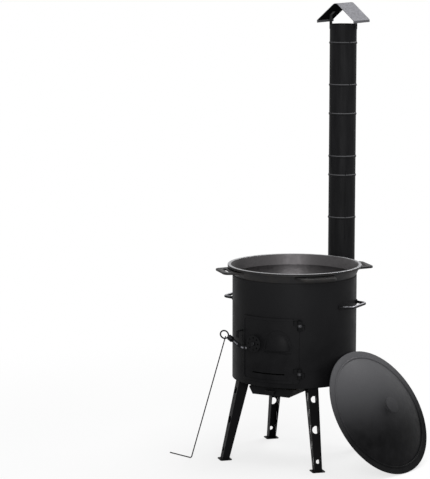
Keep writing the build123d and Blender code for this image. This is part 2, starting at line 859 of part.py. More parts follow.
def make_cap_tab(side):
    """Strap that joins the pipe's top to one slope of the cap."""
    place = pipe_radius + tab_wall / 2 + weld_gap
    slope = math.atan2(cap_eave_drop, cap_half_span)
    under = (cap_wall / 2 + tab_wall / 2 + weld_gap) / math.cos(slope)
    bend = cap_height(place) - under
    inward = tab_flange * math.cos(slope)
    upward = tab_flange * math.sin(slope)
    points = [(place, pipe_top - tab_overlap), (place, bend), (place - inward, bend + upward)]
    path = FilletPolyline(*points, radius=tab_bend)
    strap = side_section(trace(path, line_width=tab_wall), -tab_width / 2, tab_width)
    strap -= disc(pipe_radius + weld_gap / 2, pipe_base, pipe_top)
    strap = Pos(0, flue_offset, 0) * strap
    if side < 0:
        return mirror(strap, Plane.YZ)
    return strap


def make_cap_rivets():
    """Dome rivets through the straps and the pipe's top."""
    rivets = []
    face = pipe_radius + tab_wall + weld_gap
    for side in (-1, 1):
        head = extrude(Circle(rivet_radius), rivet_height)
        head = fillet(head.edges().group_by(Axis.Z)[-1], rivet_crown)
        place = Pos(side * face, flue_offset, pipe_top - tab_overlap / 2)
        rivets.append(place * Rot(0, side * quarter_turn_angle, 0) * head)
    return Compound(children=[rivet.solid() for rivet in rivets])


def make_ear(angle):
    """Cast loop ear with one long slot."""
    half_root = ear_root_width / 2
    half_tip = ear_tip_width / 2
    outline = closed_face([
        (-half_root, -ear_root_radius),
        (-half_tip, -ear_tip_radius),
        (half_tip, -ear_tip_radius),
        (half_root, -ear_root_radius),
    ])
    outline = fillet(outline.vertices().sort_by(Axis.Y)[:2], ear_corner)
    outline -= Pos(0, -ear_slot_radius) * SlotOverall(ear_slot_length, ear_slot_width)
    top = rim_top - ear_drop
    ear = extrude(Pos(0, 0, top - ear_thickness) * outline, ear_thickness)
    rims = ear.faces().group_by(Axis.Z)[-1].edges() + ear.faces().group_by(Axis.Z)[0].edges()
    return turned(fillet(rims, ear_edge_radius), angle)


def make_cauldron():
    """Round bottomed cast bowl with a flat rim, a flared shoulder and four ears."""
    seat = body_top
    depth = bowl_depth - rim_above_shell
    inner_radius = seat_radius - bowl_wall
    foot_turn = math.degrees(math.acos(bowl_foot_radius / seat_radius))
    foot_height = seat - depth * math.sin(math.radians(foot_turn))
    shoulder = (rim_radius - rim_step, rim_top - rim_height - rim_edge_radius)
    rim_under = (rim_radius, rim_top - rim_height)
    rim_side = (rim_radius, rim_top)
    outside = [
        Line((0, rim_top), (0, foot_height)),
        Line((0, foot_height), (bowl_foot_radius, foot_height)),
        EllipticalCenterArc((0, seat), seat_radius, depth, start_angle=-foot_turn, arc_size=foot_turn),
        Line((seat_radius, seat), shoulder),
        Line(shoulder, rim_under),
        Line(rim_under, rim_side),
        Line(rim_side, (0, rim_top)),
    ]
    bowl = spun(make_face(outside))
    for angle in corner_angles(ear_angle).values():
        bowl += make_ear(angle)
    rim_inner = rim_radius - rim_lip
    bottom = EllipticalCenterArc(
        (0, seat),
        inner_radius,
        depth - bowl_wall,
        start_angle=-quarter_turn_angle,
        arc_size=quarter_turn_angle,
    )
    inside = [
        Line((0, rim_top), (0, seat - depth + bowl_wall)),
        bottom,
        Line((inner_radius, seat), (rim_inner, rim_top)),
        Line((rim_inner, rim_top), (0, rim_top)),
    ]
    bowl -= spun(make_face(inside))
    return fillet(bowl.faces().sort_by(Axis.Z)[-1].edges(), rim_edge_radius)


def lid_seat():
    """Place of the lid's underside middle: foot on the floor, brim against the shell."""
    lean = math.radians(lid_lean_angle)
    facing = math.radians(lid_facing_angle)
    out = (math.sin(facing), -math.cos(facing))
    along = (math.cos(facing), math.sin(facing))
    height = lid_radius * math.cos(lean)
    reach = 0
    for degree in range(int(full_turn_angle)):
        turn = math.radians(degree)
        side = lid_side_offset + lid_radius * math.cos(turn)
        back = -lid_radius * math.sin(turn) * math.sin(lean)
        rise = height + lid_radius * math.sin(turn) * math.cos(lean)
        room = (shell_radius + fit_gap) ** 2 - side**2
        if rise > body_bottom and room > 0:
            reach = max(reach, math.sqrt(room) - back)
    place_x = reach * out[0] + lid_side_offset * along[0]
    place_y = reach * out[1] + lid_side_offset * along[1]
    leaning = Rot(0, 0, lid_facing_angle) * Rot(quarter_turn_angle - lid_lean_angle, 0, 0)
    return Pos(place_x, place_y, height) * leaning


def make_lid():
    """Shallow domed lid with a flat brim, a raised bead and a locating ring below."""
    dome_radius = lid_radius - lid_brim
    crown = lid_wall + lid_dome_rise
    mid = dome_radius / 2
    mid_rise = lid_dome_rise * lid_dome_mid_share
    brim_shoulder = lid_radius - lid_edge_chamfer
    brim_side = lid_wall - lid_edge_chamfer
    ring_inner = lid_ring_radius - lid_ring_wall
    dome_foot = dome_radius - lid_bead_radius - lid_wall
    edges = [
        Line((0, crown - lid_wall), (0, crown)),
        ThreePointArc((0, crown), (mid, lid_wall + mid_rise), (dome_radius - lid_bead_radius, lid_wall)),
        ThreePointArc(
            (dome_radius - lid_bead_radius, lid_wall),
            (dome_radius, lid_wall + lid_bead_radius),
            (dome_radius + lid_bead_radius, lid_wall),
        ),
        Line((dome_radius + lid_bead_radius, lid_wall), (brim_shoulder, lid_wall)),
        Line((brim_shoulder, lid_wall), (lid_radius, brim_side)),
        Line((lid_radius, brim_side), (lid_radius, 0)),
        Line((lid_radius, 0), (lid_ring_radius, 0)),
        Line((lid_ring_radius, 0), (lid_ring_radius, -lid_ring_depth)),
        Line((lid_ring_radius, -lid_ring_depth), (ring_inner, -lid_ring_depth)),
        Line((ring_inner, -lid_ring_depth), (dome_foot, 0)),
        ThreePointArc((dome_foot, 0), (mid, mid_rise), (0, crown - lid_wall)),
    ]
    lid = spun(make_face(edges))
    return lid_seat() * (lid - disc(knob_screw_radius + running_gap, 0, crown + overrun))


def make_knob():
    """Cast mushroom knob with a waisted stem and a lens shaped top."""
    foot = lid_wall + lid_dome_rise + weld_gap
    top = foot + knob_height
    under = top - knob_thickness
    edge = top - knob_edge
    waist = (knob_stem_radius, (foot + under) / 2)
    edges = [
        Line((0, foot), (knob_foot_radius, foot)),
        ThreePointArc((knob_foot_radius, foot), waist, (knob_foot_radius, under)),
        Line((knob_foot_radius, under), (knob_radius, edge - knob_edge / 2)),
        Line((knob_radius, edge - knob_edge / 2), (knob_radius, edge)),
        RadiusArc((knob_radius, edge), (0, top), -(knob_radius**2 + knob_edge**2) / (2 * knob_edge)),
        Line((0, top), (0, foot)),
    ]
    knob = spun(make_face(edges)) - disc(knob_screw_radius + weld_gap, foot, foot + knob_screw_grip)
    return lid_seat() * knob


def make_knob_screw():
    """Screw from inside the lid into the knob."""
    under = lid_dome_rise - weld_gap
    screw = disc(knob_screw_head_radius, under - knob_screw_head_height, under)
    screw = fillet(screw.edges().group_by(Axis.Z)[0], knob_screw_head_height / 2)
    tip = lid_wall + lid_dome_rise + knob_screw_grip - fit_gap
    return lid_seat() * (screw + disc(knob_screw_radius, under, tip))


def polar(radius, angle, height):
    """Point at a radius, angle and height about the stove's axis."""
    turn = math.radians(angle)
    return (radius * math.sin(turn), -radius * math.cos(turn), height)


def poker_rest(corner):
    """Point on the rod's middle line where it leans on the lowest front of the ring."""
    ring = Plane(Rot(0, 0, latch_angle) * ring_place())
    down = Vector(0, 0, -1)
    down -= ring.z_dir * ring.z_dir.dot(down)
    lowest = ring.origin + down.normalized() * ring_radius
    along_wire = down.cross(ring.z_dir)
    outward = along_wire.cross(lowest - corner).normalized()
    return lowest + outward * (ring_wire_radius + poker_rod_radius + fit_gap)


def make_poker():
    """Round rod with its foot bent along the floor."""
    corner = Vector(*polar(poker_corner_radius, poker_corner_angle, poker_rod_radius))
    rest = poker_rest(corner)
    toe = Vector(*polar(poker_toe_radius, poker_toe_angle, poker_rod_radius))
    top = rest + (rest - corner).normalized() * poker_top_length
    path = FilletPolyline(top, corner, toe, radius=poker_bend)
    return sweep(Plane(origin=path @ 0, z_dir=path % 0) * Circle(poker_rod_radius), path=path)


os.makedirs("parts", exist_ok=True)

save(make_shell(), "firebox_shell")
save(make_floor(), "floor_plate")
save(make_grate(), "fire_grate")
save(make_door_skin(), "door_skin")
save(make_air_hood(), "air_hood")
for name in hinge_heights:
    save(make_hinge_pin(name), name + "_hinge_pin")
    save(make_hinge_sleeve(name), name + "_hinge_sleeve")
save(make_latch_boss(), "latch_boss")
save(make_rosette(), "latch_rosette")
save(make_pivot_bolt(), "latch_pivot_bolt")
save(make_lever(), "latch_lever")
save(make_grip(), "latch_grip")
save(make_keeper(), "latch_keeper")
save(make_handle(1), "right_handle")
save(make_handle(-1), "left_handle")
for name, angle in corner_angles(leg_angle).items():
    save(make_leg(angle), "leg_" + name)
save(make_leg_bolts(), "leg_bolts")
save(make_pan(), "ash_pan")
save(make_pan_pull(), "ash_pan_pull")
save(make_runner(1), "right_pan_runner")
save(make_runner(-1), "left_pan_runner")
save(make_stub(), "flue_stub")
save(make_elbow(), "flue_elbow")
for section, name in enumerate(("lower_pipe", "middle_pipe", "upper_pipe")):
    save(make_pipe(section), name)
save(make_cap(), "rain_cap")
save(make_cap_tab(1), "right_cap_strap")
save(make_cap_tab(-1), "left_cap_strap")
save(make_cap_rivets(), "cap_rivets")
save(make_cauldron(), "cauldron")
save(make_lid(), "lid")
save(make_knob(), "lid_knob")
save(make_knob_screw(), "knob_screw")
save(make_poker(), "poker")
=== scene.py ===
import math

import bpy
from mathutils import Matrix, Vector


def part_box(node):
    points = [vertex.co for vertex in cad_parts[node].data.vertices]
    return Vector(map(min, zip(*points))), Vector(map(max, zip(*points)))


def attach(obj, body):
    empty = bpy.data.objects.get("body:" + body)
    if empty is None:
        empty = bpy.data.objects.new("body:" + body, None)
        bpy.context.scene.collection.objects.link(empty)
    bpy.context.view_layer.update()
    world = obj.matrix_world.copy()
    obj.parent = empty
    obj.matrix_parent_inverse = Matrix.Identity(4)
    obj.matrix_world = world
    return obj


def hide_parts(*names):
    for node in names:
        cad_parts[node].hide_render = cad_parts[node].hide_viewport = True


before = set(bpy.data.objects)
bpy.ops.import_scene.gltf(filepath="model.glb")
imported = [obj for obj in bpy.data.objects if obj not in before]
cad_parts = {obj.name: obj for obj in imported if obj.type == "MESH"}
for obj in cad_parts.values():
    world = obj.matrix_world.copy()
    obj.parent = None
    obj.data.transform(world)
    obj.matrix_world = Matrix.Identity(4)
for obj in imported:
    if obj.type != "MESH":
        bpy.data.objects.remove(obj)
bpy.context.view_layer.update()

# A free-standing round wood stove with a cast cauldron in its open top, dressed for a studio picture.
# Metres, +Z up. The door faces -Y and angles are counted from the door's middle towards +X.

bl_info = {
    "name": "Cauldron stove",
    "version": (1, 0, 0),
    "blender": (4, 5, 0),
    "location": "3D View > Sidebar > Stove",
    "description": "Finishes and small fittings of a free-standing cauldron stove",
    "category": "Object",
}

MM = 0.001

# Places read from the frame
DRUM_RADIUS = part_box("firebox_shell")[1][0]
DRUM_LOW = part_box("firebox_shell")[0][2]
DRUM_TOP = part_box("firebox_shell")[1][2]
DRUM_WALL = 2.0 * MM
DOOR_FACE = DRUM_RADIUS + 2.5 * MM
DOOR_BACK = DOOR_FACE - 1.5 * MM
RIM_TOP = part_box("cauldron")[1][2]
PIPE_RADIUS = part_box("upper_pipe")[1][0] - 2.0 * MM
PIPE_BACK = (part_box("upper_pipe")[0][1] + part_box("upper_pipe")[1][1]) / 2
PIPE_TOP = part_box("upper_pipe")[1][2]
PIPE_AXIS = Vector((0, PIPE_BACK, 0))
FOOT_WALL = 3.0 * MM
LEG_ANGLES = (45.0, 135.0, -135.0, -45.0)
HINGE_ANGLE = 31.0
HINGE_AXIS = DRUM_RADIUS + 11 * MM
BARREL_RADIUS = 8.3 * MM
WING_WELD_ANGLE = 25.9
FOOT_WELD_ANGLE = 35.4
LATCH_ANGLE = -10.6
LEVER_RISE = 27.55
LEVER_FACE = DRUM_RADIUS + 17 * MM
# Worn spots and painted glints on the lever's face, in millimetres from the pivot: three below the grip,
# three on the crank.
LEVER_WEAR_AND_GLINTS = ((-86, -4), (-80, -7), (-74, -10), (-53, -19), (-48, -20), (-34, -19))
GRIP_LENGTH = 20 * MM
GRIP_RADIUS = 10 * MM


def linear(code):
    """Turn an sRGB hex colour into Blender's linear numbers."""
    parts = [int(code[place : place + 2], 16) / 255 for place in (1, 3, 5)]
    return tuple(part / 12.92 if part <= 0.04045 else ((part + 0.055) / 1.055) ** 2.4 for part in parts)


def colour_setting(name, description, code):
    """Colour property with its default given as a hex value."""
    return bpy.props.FloatVectorProperty(
        name=name, description=description, subtype="COLOR", min=0, max=1, default=linear(code)
    )


def length_setting(name, description, millimetres):
    """Length property with its default given in millimetres."""
    return bpy.props.FloatProperty(
        name=name,
        description=description,
        default=millimetres * MM,
        min=0,
        unit="LENGTH",
        subtype="DISTANCE",
    )


class StoveColours(bpy.types.PropertyGroup):
    """Colours of the stove's finishes."""

    paint: colour_setting("Stove paint", "Matt black paint on the drum and the door", "#0c0c0d")
    # Paint lit from above: the greyer paint near the top of drum and door is painted light.
    paint_lit_from_above: colour_setting("Faded paint", "Greyer paint near the top of drum and door", "#171718")
    paint_dust: colour_setting("Paint dust", "Lighter mottling where dust clings to the paint", "#121213")
    soot: colour_setting("Soot", "Dry soot and rust inside the drum and on the grate", "#171310")
    powder_coat: colour_setting("Powder coat", "Satin black coat on the legs", "#0c0c0d")
    flue_enamel: colour_setting("Flue enamel", "Matt enamel on the flue pipes", "#19191a")
    pot_iron: colour_setting("Cauldron iron", "Oiled cast iron of the cauldron", "#1c1c1d")
    pot_iron_warm: colour_setting("Cauldron seasoning", "Warmer patches of burnt-on oil", "#232120")
    pot_inside: colour_setting("Cauldron inside", "Ground and oiled iron of the bowl's inside", "#4c4a4b")
    lid_iron: colour_setting("Lid iron", "Black cast iron of the lid", "#0b0b0c")
    # Painted light grey: stands for light on the lid's top, the flue beads' upper flanks and the rain cap's
    # top.
    painted_light_grey: colour_setting("Worn grey", "Grey where blacking or enamel has worn thin", "#4c4c4e")
    # Cap top light: the light grey on top of the rain cap is painted light.
    cap_top_light: colour_setting("Weathered enamel", "Dusty enamel on top of the rain cap", "#7c7c80")
    # Hinge wear and glint: bare steel at the hinge joints, also a painted glint.
    hinge_steel: colour_setting("Hinge steel", "Bare steel where the hinges' halves rub", "#3e3e40")
    # Worn glint steel: bare steel where bars are held and knocked, also painted as glints and highlights.
    worn_glint_steel: colour_setting("Hand-worn steel", "Bare steel where bars are held and knocked", "#7c7c80")
    # Rim polish and highlight: the rim is rubbed by lid and ladle, and its brightness is also a painted
    # highlight.
    rim_polish_and_highlight: colour_setting("Polished rim", "Iron of the rim, rubbed by lid and ladle", "#8c8c8e")
    black_bar: colour_setting("Black bar", "Scaled steel of lever, handles, poker and ash pan", "#101011")
    bolt: colour_setting("Bolts", "Heat dulled plating of bolts and rivets", "#2b2b2d")
    coil: colour_setting("Coil wire", "Drawn spring wire of the grip", "#1c1c1d")
    ash: colour_setting("Ash", "Pale ash dust in the grate and the pan", "#6d6963")
    ground: colour_setting("Ground", "Pale studio floor", "#e9e9e9")


class StoveSizes(bpy.types.PropertyGroup):
    """Sizes of the small fittings."""

    bead_radius: length_setting("Weld bead radius", "Half width of a weld bead", 2.2)
    bead_pitch: length_setting("Weld ripple pitch", "Distance from one ripple of a weld to the next", 1.7)
    seam_width: length_setting("Lock seam width", "Width of the folded seam along a flue pipe", 6.0)
    seam_height: length_setting("Lock seam height", "How far the folded seam stands off the pipe", 1.5)
    spot_radius: length_setting("Spot weld radius", "Radius of a spot weld on the air hood's band", 2.3)
    wire_radius: length_setting("Coil wire radius", "Radius of the wire wound round the lever", 1.5)
    coil_turns: bpy.props.IntProperty(
        name="Coil turns", description="Turns of wire in the lever's grip", default=7, min=2, max=20
    )


class StoveStage(bpy.types.PropertyGroup):
    """Camera and light."""

    azimuth: bpy.props.FloatProperty(
        name="Azimuth",
        description="Camera's direction round the stove, from the door towards its right side",
        default=math.radians(26.26),
        subtype="ANGLE",
    )
    distance: bpy.props.FloatProperty(
        name="Distance", description="Level distance from the drum's axis", default=7.4087, unit="LENGTH"
    )
    height: bpy.props.FloatProperty(
        name="Height", description="Camera's height above the floor", default=1.8665, unit="LENGTH"
    )
    pitch: bpy.props.FloatProperty(
        name="Pitch",
        description="How far the camera looks down",
        default=math.radians(8.42),
        subtype="ANGLE",
    )
    yaw: bpy.props.FloatProperty(
        name="Yaw",
        description="Turn to the left of the drum's axis",
        default=math.radians(2.16),
        subtype="ANGLE",
    )
    lens: bpy.props.FloatProperty(
        name="Lens",
        description="Focal length in millimetres on a 36 mm sensor",
        default=160.63,
        unit="CAMERA",
    )


class StoveSettings(bpy.types.PropertyGroup):
    """All settings of the stove."""

    colours: bpy.props.PointerProperty(type=StoveColours)
    sizes: bpy.props.PointerProperty(type=StoveSizes)
    stage: bpy.props.PointerProperty(type=StoveStage)


def settings():
    """The scene's stove settings."""
    return bpy.context.scene.cauldron_stove


# Materials


def add_node(tree, kind, options=None, inputs=None, links=None):
    """Add one node with its options, its input values and its links."""
    node = tree.nodes.new(kind)
    for name, value in (options or {}).items():
        setattr(node, name, value)
    for socket, value in (inputs or {}).items():
        node.inputs[socket].default_value = value
    for socket, source in (links or {}).items():
        tree.links.new(source, node.inputs[socket])
    return node


def opaque(colour):
    """Four numbers for a colour socket."""
    return (*colour, 1.0)


# Shader values of the kinds of surface
LOW_GLOSS = {"IOR": 1.5, "Specular IOR Level": 0.03}
SOOTY = {"IOR": 1.5, "Specular IOR Level": 0.0}
OILED = {"IOR": 1.48, "Specular IOR Level": 0.08}
MILL_SCALE = {"IOR": 1.5, "Specular IOR Level": 0.04}
BARE_METAL = {"Metallic": 1.0}


def start_finish(name, colour, roughness, kind):
    """New material with one principled shader: gives its tree, shader and object coordinates."""
    material = bpy.data.materials.new(name)
    material.use_nodes = True
    material.diffuse_color = opaque(colour)
    tree = material.node_tree
    tree.nodes.clear()
    values = {"Base Color": opaque(colour), "Roughness": roughness}
    values.update(kind)
    shader = add_node(tree, "ShaderNodeBsdfPrincipled", inputs=values)
    add_node(tree, "ShaderNodeOutputMaterial", links={"Surface": shader.outputs[0]})
    place = add_node(tree, "ShaderNodeTexCoord").outputs["Object"]
    return material, tree, shader, place


def grains(millimetres):
    """Noise scale for a grain of this real size."""
    return 1 / (millimetres * MM)


def vary_colour(tree, shader, place, first, second, grain, low=0.35, high=0.7):
    """Mottle the colour between two tones in patches of one real size; gives the colour's output."""
    noise = add_node(
        tree, "ShaderNodeTexNoise", inputs={"Scale": grains(grain), "Detail": 6.0}, links={"Vector": place}
    )
    ramp = add_node(tree, "ShaderNodeValToRGB", links={"Fac": noise.outputs["Fac"]})
    ramp.color_ramp.elements[0].position = low
    ramp.color_ramp.elements[0].color = opaque(first)
    ramp.color_ramp.elements[1].position = high
    ramp.color_ramp.elements[1].color = opaque(second)
    tree.links.new(ramp.outputs["Color"], shader.inputs["Base Color"])
    return ramp.outputs["Color"]


def vary_roughness(tree, shader, place, low, high, grain):
    """Let the roughness wander between two values in patches of one real size."""
    noise = add_node(
        tree, "ShaderNodeTexNoise", inputs={"Scale": grains(grain), "Detail": 4.0}, links={"Vector": place}
    )
    reach = add_node(
        tree,
        "ShaderNodeMapRange",
        inputs={"From Min": 0.3, "From Max": 0.7, "To Min": low, "To Max": high},
        links={"Value": noise.outputs["Fac"]},
    )
    tree.links.new(reach.outputs["Result"], shader.inputs["Roughness"])


def soft_edges(tree, millimetres):
    """Normal that rounds every sharp edge by a small radius, so that the edge catches the light."""
    rounded = add_node(
        tree, "ShaderNodeBevel", options={"samples": 6}, inputs={"Radius": millimetres * MM}
    )
    return rounded.outputs["Normal"]


def grain_bump(tree, shader, place, grain, depth, strength=1.0, detail=3.0, under=None):
    """Bumps of one real size and depth in millimetres, on top of any bump given before."""
    noise = add_node(
        tree,
        "ShaderNodeTexNoise",
        inputs={"Scale": grains(grain), "Detail": detail},
        links={"Vector": place},
    )
    links = {"Height": noise.outputs["Fac"]}
    if under is not None:
        links["Normal"] = under
    bump = add_node(
        tree, "ShaderNodeBump", inputs={"Strength": strength, "Distance": depth * MM}, links=links
    )
    tree.links.new(bump.outputs["Normal"], shader.inputs["Normal"])
    return bump.outputs["Normal"]


def level_part(tree, place):
    """A point's place seen from above, with its height left out."""
    parts = add_node(tree, "ShaderNodeSeparateXYZ", links={"Vector": place})
    level = add_node(
        tree, "ShaderNodeCombineXYZ", links={"X": parts.outputs["X"], "Y": parts.outputs["Y"]}
    )
    return level.outputs["Vector"]


def centred_on(tree, place, axis):
    """Object coordinates counted from another upright axis than the drum's."""
    moved = add_node(tree, "ShaderNodeMapping", inputs={"Location": -axis}, links={"Vector": place})
    return moved.outputs["Vector"]


def near_axis(tree, place, limit):
    """One where a point is nearer the upright axis than the limit, zero outside."""
    reach = add_node(
        tree, "ShaderNodeVectorMath", options={"operation": "LENGTH"}, links={0: level_part(tree, place)}
    )
    near = add_node(
        tree,
        "ShaderNodeMath",
        options={"operation": "LESS_THAN"},
        inputs={1: limit},
        links={0: reach.outputs["Value"]},
    )
    return near.outputs["Value"]


def facing_up(tree, low, high):
    """Grows from zero to one as a face turns upwards."""
    normal = add_node(tree, "ShaderNodeNewGeometry").outputs["Normal"]
    parts = add_node(tree, "ShaderNodeSeparateXYZ", links={"Vector": normal})
    reach = add_node(
        tree,
        "ShaderNodeMapRange",
        inputs={"From Min": low, "From Max": high},
        links={"Value": parts.outputs["Z"]},
    )
    return reach.outputs["Result"]


def facing_axis(tree, place):
    """One on faces that look towards the drum's axis, zero on faces that look away from it."""
    outwards = add_node(
        tree,
        "ShaderNodeVectorMath",
        options={"operation": "NORMALIZE"},
        links={0: level_part(tree, place)},
    )
    normal = add_node(tree, "ShaderNodeNewGeometry").outputs["Normal"]
    turn = add_node(
        tree,
        "ShaderNodeVectorMath",
        options={"operation": "DOT_PRODUCT"},
        links={0: normal, 1: outwards.outputs["Vector"]},
    )
    reach = add_node(
        tree,
        "ShaderNodeMapRange",
        inputs={"From Min": -0.02, "From Max": -0.14},
        links={"Value": turn.outputs["Value"]},
    )
    return reach.outputs["Result"]


def multiply(tree, first, second):
    """Product of two masks."""
    both = add_node(
        tree, "ShaderNodeMath", options={"operation": "MULTIPLY"}, links={0: first, 1: second}
    )
    return both.outputs["Value"]


def blend_colour(tree, shader, mask, below, above):
    """Put a second colour over the first where the mask is one."""
    mix = add_node(
        tree,
        "ShaderNodeMix",
        options={"data_type": "RGBA"},
        inputs={7: opaque(above)},
        links={0: mask, 6: below},
    )
    tree.links.new(mix.outputs[2], shader.inputs["Base Color"])
    return mix.outputs[2]


def paint_light_from_above(tree, shader, place, below):
    """Painted light from above: paint that turns greyer towards the drum's top."""
    height = add_node(tree, "ShaderNodeSeparateXYZ", links={"Vector": place}).outputs["Z"]
    # The lowest 60 mm keep the plain paint; the painted light grows from there to the top.
    foot_margin = 60 * MM
    top_light_share = add_node(
        tree,
        "ShaderNodeMapRange",
        inputs={"From Min": DRUM_LOW + foot_margin, "From Max": DRUM_TOP},
        links={"Value": height},
    )
    return blend_colour(tree, shader, top_light_share.outputs["Result"], below, settings().colours.paint_lit_from_above)


def silicone_stove_paint():
    """High temperature silicone paint sprayed on rolled sheet, with soot inside the drum."""
    # Sprayed and baked: a dead matt black with a faint orange peel, greyer near the top of the drum as
    # painted light from above.
    # Its pigment stands out of the film, so little of the film's own gloss is left.
    tones = settings().colours
    material, tree, shader, place = start_finish("silicone_stove_paint", tones.paint, 0.42, LOW_GLOSS)
    sprayed = vary_colour(tree, shader, place, tones.paint, tones.paint_dust, 70.0)
    # Painted light from above: greyer towards the top of the drum.
    colour = paint_light_from_above(tree, shader, place, sprayed)
    blend_colour(tree, shader, near_axis(tree, place, DRUM_RADIUS - DRUM_WALL / 2), colour, tones.soot)
    vary_roughness(tree, shader, place, 0.4, 0.52, 45.0)
    peel = grain_bump(tree, shader, place, 3.2, 0.05, under=soft_edges(tree, 1.0))
    grain_bump(tree, shader, place, 60.0, 0.5, strength=0.6, detail=1.0, under=peel)
    return material


def door_paint():
    """The same silicone paint on the door's pressed sheet, with soot on its back."""
    # The door is touched more than the drum, so its paint is a little smoother and shinier.
    tones = settings().colours
    material, tree, shader, place = start_finish("door_silicone_paint", tones.paint, 0.4, LOW_GLOSS)
    sprayed = vary_colour(tree, shader, place, tones.paint, tones.paint_dust, 40.0)
    # Painted light from above: greyer towards the top of the door.
    colour = paint_light_from_above(tree, shader, place, sprayed)
    blend_colour(tree, shader, near_axis(tree, place, DOOR_BACK), colour, tones.soot)
    vary_roughness(tree, shader, place, 0.36, 0.5, 30.0)
    grain_bump(tree, shader, place, 3.0, 0.05, under=soft_edges(tree, 1.2))
    return material


def textured_powder_coat():
    """Fine textured powder coat on folded steel."""
    # Baked powder leaves a tight pebbled skin that breaks up every highlight.
    tones = settings().colours
    material, tree, shader, place = start_finish("textured_powder_coat", tones.powder_coat, 0.36, LOW_GLOSS)
    vary_colour(tree, shader, place, tones.powder_coat, tones.paint, 25.0)
    vary_roughness(tree, shader, place, 0.34, 0.46, 20.0)
    grain_bump(tree, shader, place, 1.6, 0.06, detail=1.0, under=soft_edges(tree, 1.2))
    return material


def flue_enamel():
    """Matt enamel baked on thin rolled flue pipe."""
    # Stretched lengthways by the rolls, so the mottling runs up the pipe.
    tones = settings().colours
    material, tree, shader, place = start_finish("flue_enamel", tones.flue_enamel, 0.42, LOW_GLOSS)
    long = add_node(tree, "ShaderNodeMapping", inputs={"Scale": (1.0, 1.0, 0.12)}, links={"Vector": place})
    stretched = long.outputs["Vector"]
    enamel = vary_colour(tree, shader, stretched, tones.flue_enamel, tones.paint_dust, 14.0)
    vary_roughness(tree, shader, stretched, 0.42, 0.56, 10.0)
    grain_bump(tree, shader, place, 2.4, 0.04)
    # Painted highlight: the upper flank of each rolled bead is painted grey, up to just below the pipe's
    # end.
    bead_reach = PIPE_RADIUS + 4 * MM
    end_gap = 6 * MM
    around_pipe = near_axis(tree, centred_on(tree, place, PIPE_AXIS), bead_reach)
    lit_bead_tops = multiply(tree, around_pipe, facing_up(tree, 0.15, 0.5))
    below_cap = add_node(
        tree,
        "ShaderNodeMath",
        options={"operation": "LESS_THAN"},
        inputs={1: PIPE_TOP - end_gap},
        links={0: add_node(tree, "ShaderNodeSeparateXYZ", links={"Vector": place}).outputs["Z"]},
    )
    blend_colour(tree, shader, multiply(tree, lit_bead_tops, below_cap.outputs["Value"]), enamel, tones.painted_light_grey)
    return material


def cap_enamel_top_light():
    """Enamelled sheet of the rain cap, painted light grey on top as painted light from above and plain
    black below.
    """
    # No gloss is left: its top is painted light grey as painted light, and its under side keeps the plain
    # black.
    tones = settings().colours
    material, tree, shader, place = start_finish("weathered_cap_enamel", tones.cap_top_light, 0.7, SOOTY)
    lit_cap_top = vary_colour(tree, shader, place, tones.cap_top_light, tones.painted_light_grey, 6.0, low=0.45, high=0.8)
    # The under side keeps the plain black enamel; only the top carries the painted light.
    blend_colour(tree, shader, facing_up(tree, 0.1, -0.1), lit_cap_top, tones.paint)
    vary_roughness(tree, shader, place, 0.6, 0.8, 8.0)
    grain_bump(tree, shader, place, 2.4, 0.05)
    return material


def cast_bumps(tree, shader, place, coarse, fine):
    """Sand-cast skin: soft lumps under a fine sandy grain."""
    lumps = grain_bump(tree, shader, place, coarse, 0.35, detail=2.0)
    return grain_bump(tree, shader, place, fine, 0.16, detail=2.0, under=lumps)


def oiled_cast_iron():
    """Sand-cast iron of the pot, rubbed with oil and burnt in."""
    # Grey-black and grainy outside, with warmer patches of burnt oil; ground smooth and metallic inside.
    tones = settings().colours
    material, tree, shader, place = start_finish("oiled_cast_iron", tones.pot_iron, 0.42, OILED)
    cast = vary_colour(tree, shader, place, tones.pot_iron, tones.pot_iron_warm, 35.0)
    ground = facing_axis(tree, place)
    bare = blend_colour(tree, shader, ground, cast, tones.pot_inside)
    # The lid and the ladle polish the flat top of the rim; the bright rim is also a painted highlight.
    rim = near_height(tree, place, [RIM_TOP], full=2 * MM, none=4 * MM)
    bright_rim_mask = multiply(tree, facing_up(tree, 0.6, 0.9), rim)
    blend_colour(tree, shader, bright_rim_mask, bare, tones.rim_polish_and_highlight)
    metal = add_node(
        tree, "ShaderNodeMath", options={"operation": "MAXIMUM"}, links={0: ground, 1: bright_rim_mask}
    )
    tree.links.new(metal.outputs["Value"], shader.inputs["Metallic"])
    vary_roughness(tree, shader, place, 0.36, 0.52, 18.0)
    cast_bumps(tree, shader, place, 9.0, 1.8)
    return material


def lid_cast_iron():
    """Sand-cast iron of the lid, blackened and waxed."""
    # Smoother than the pot: black at the foot it stands on and greyer towards the top, which is painted
    # light from above.
    tones = settings().colours
    material, tree, shader, place = start_finish("lid_cast_iron", tones.lid_iron, 0.36, LOW_GLOSS)
    black = vary_colour(tree, shader, place, tones.lid_iron, tones.paint_dust, 30.0)
    low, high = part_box("lid")
    dark_foot_band = 120 * MM
    height = add_node(tree, "ShaderNodeSeparateXYZ", links={"Vector": place}).outputs["Z"]
    # Painted light from above: the lid greys towards its top.
    thin = add_node(
        tree,
        "ShaderNodeMapRange",
        options={"interpolation_type": "SMOOTHSTEP"},
        inputs={"From Min": low[2] + dark_foot_band, "From Max": high[2]},
        links={"Value": height},
    )
    blend_colour(tree, shader, thin.outputs["Result"], black, tones.painted_light_grey)
    vary_roughness(tree, shader, place, 0.34, 0.46, 22.0)
    cast_bumps(tree, shader, place, 14.0, 2.2)
    return material


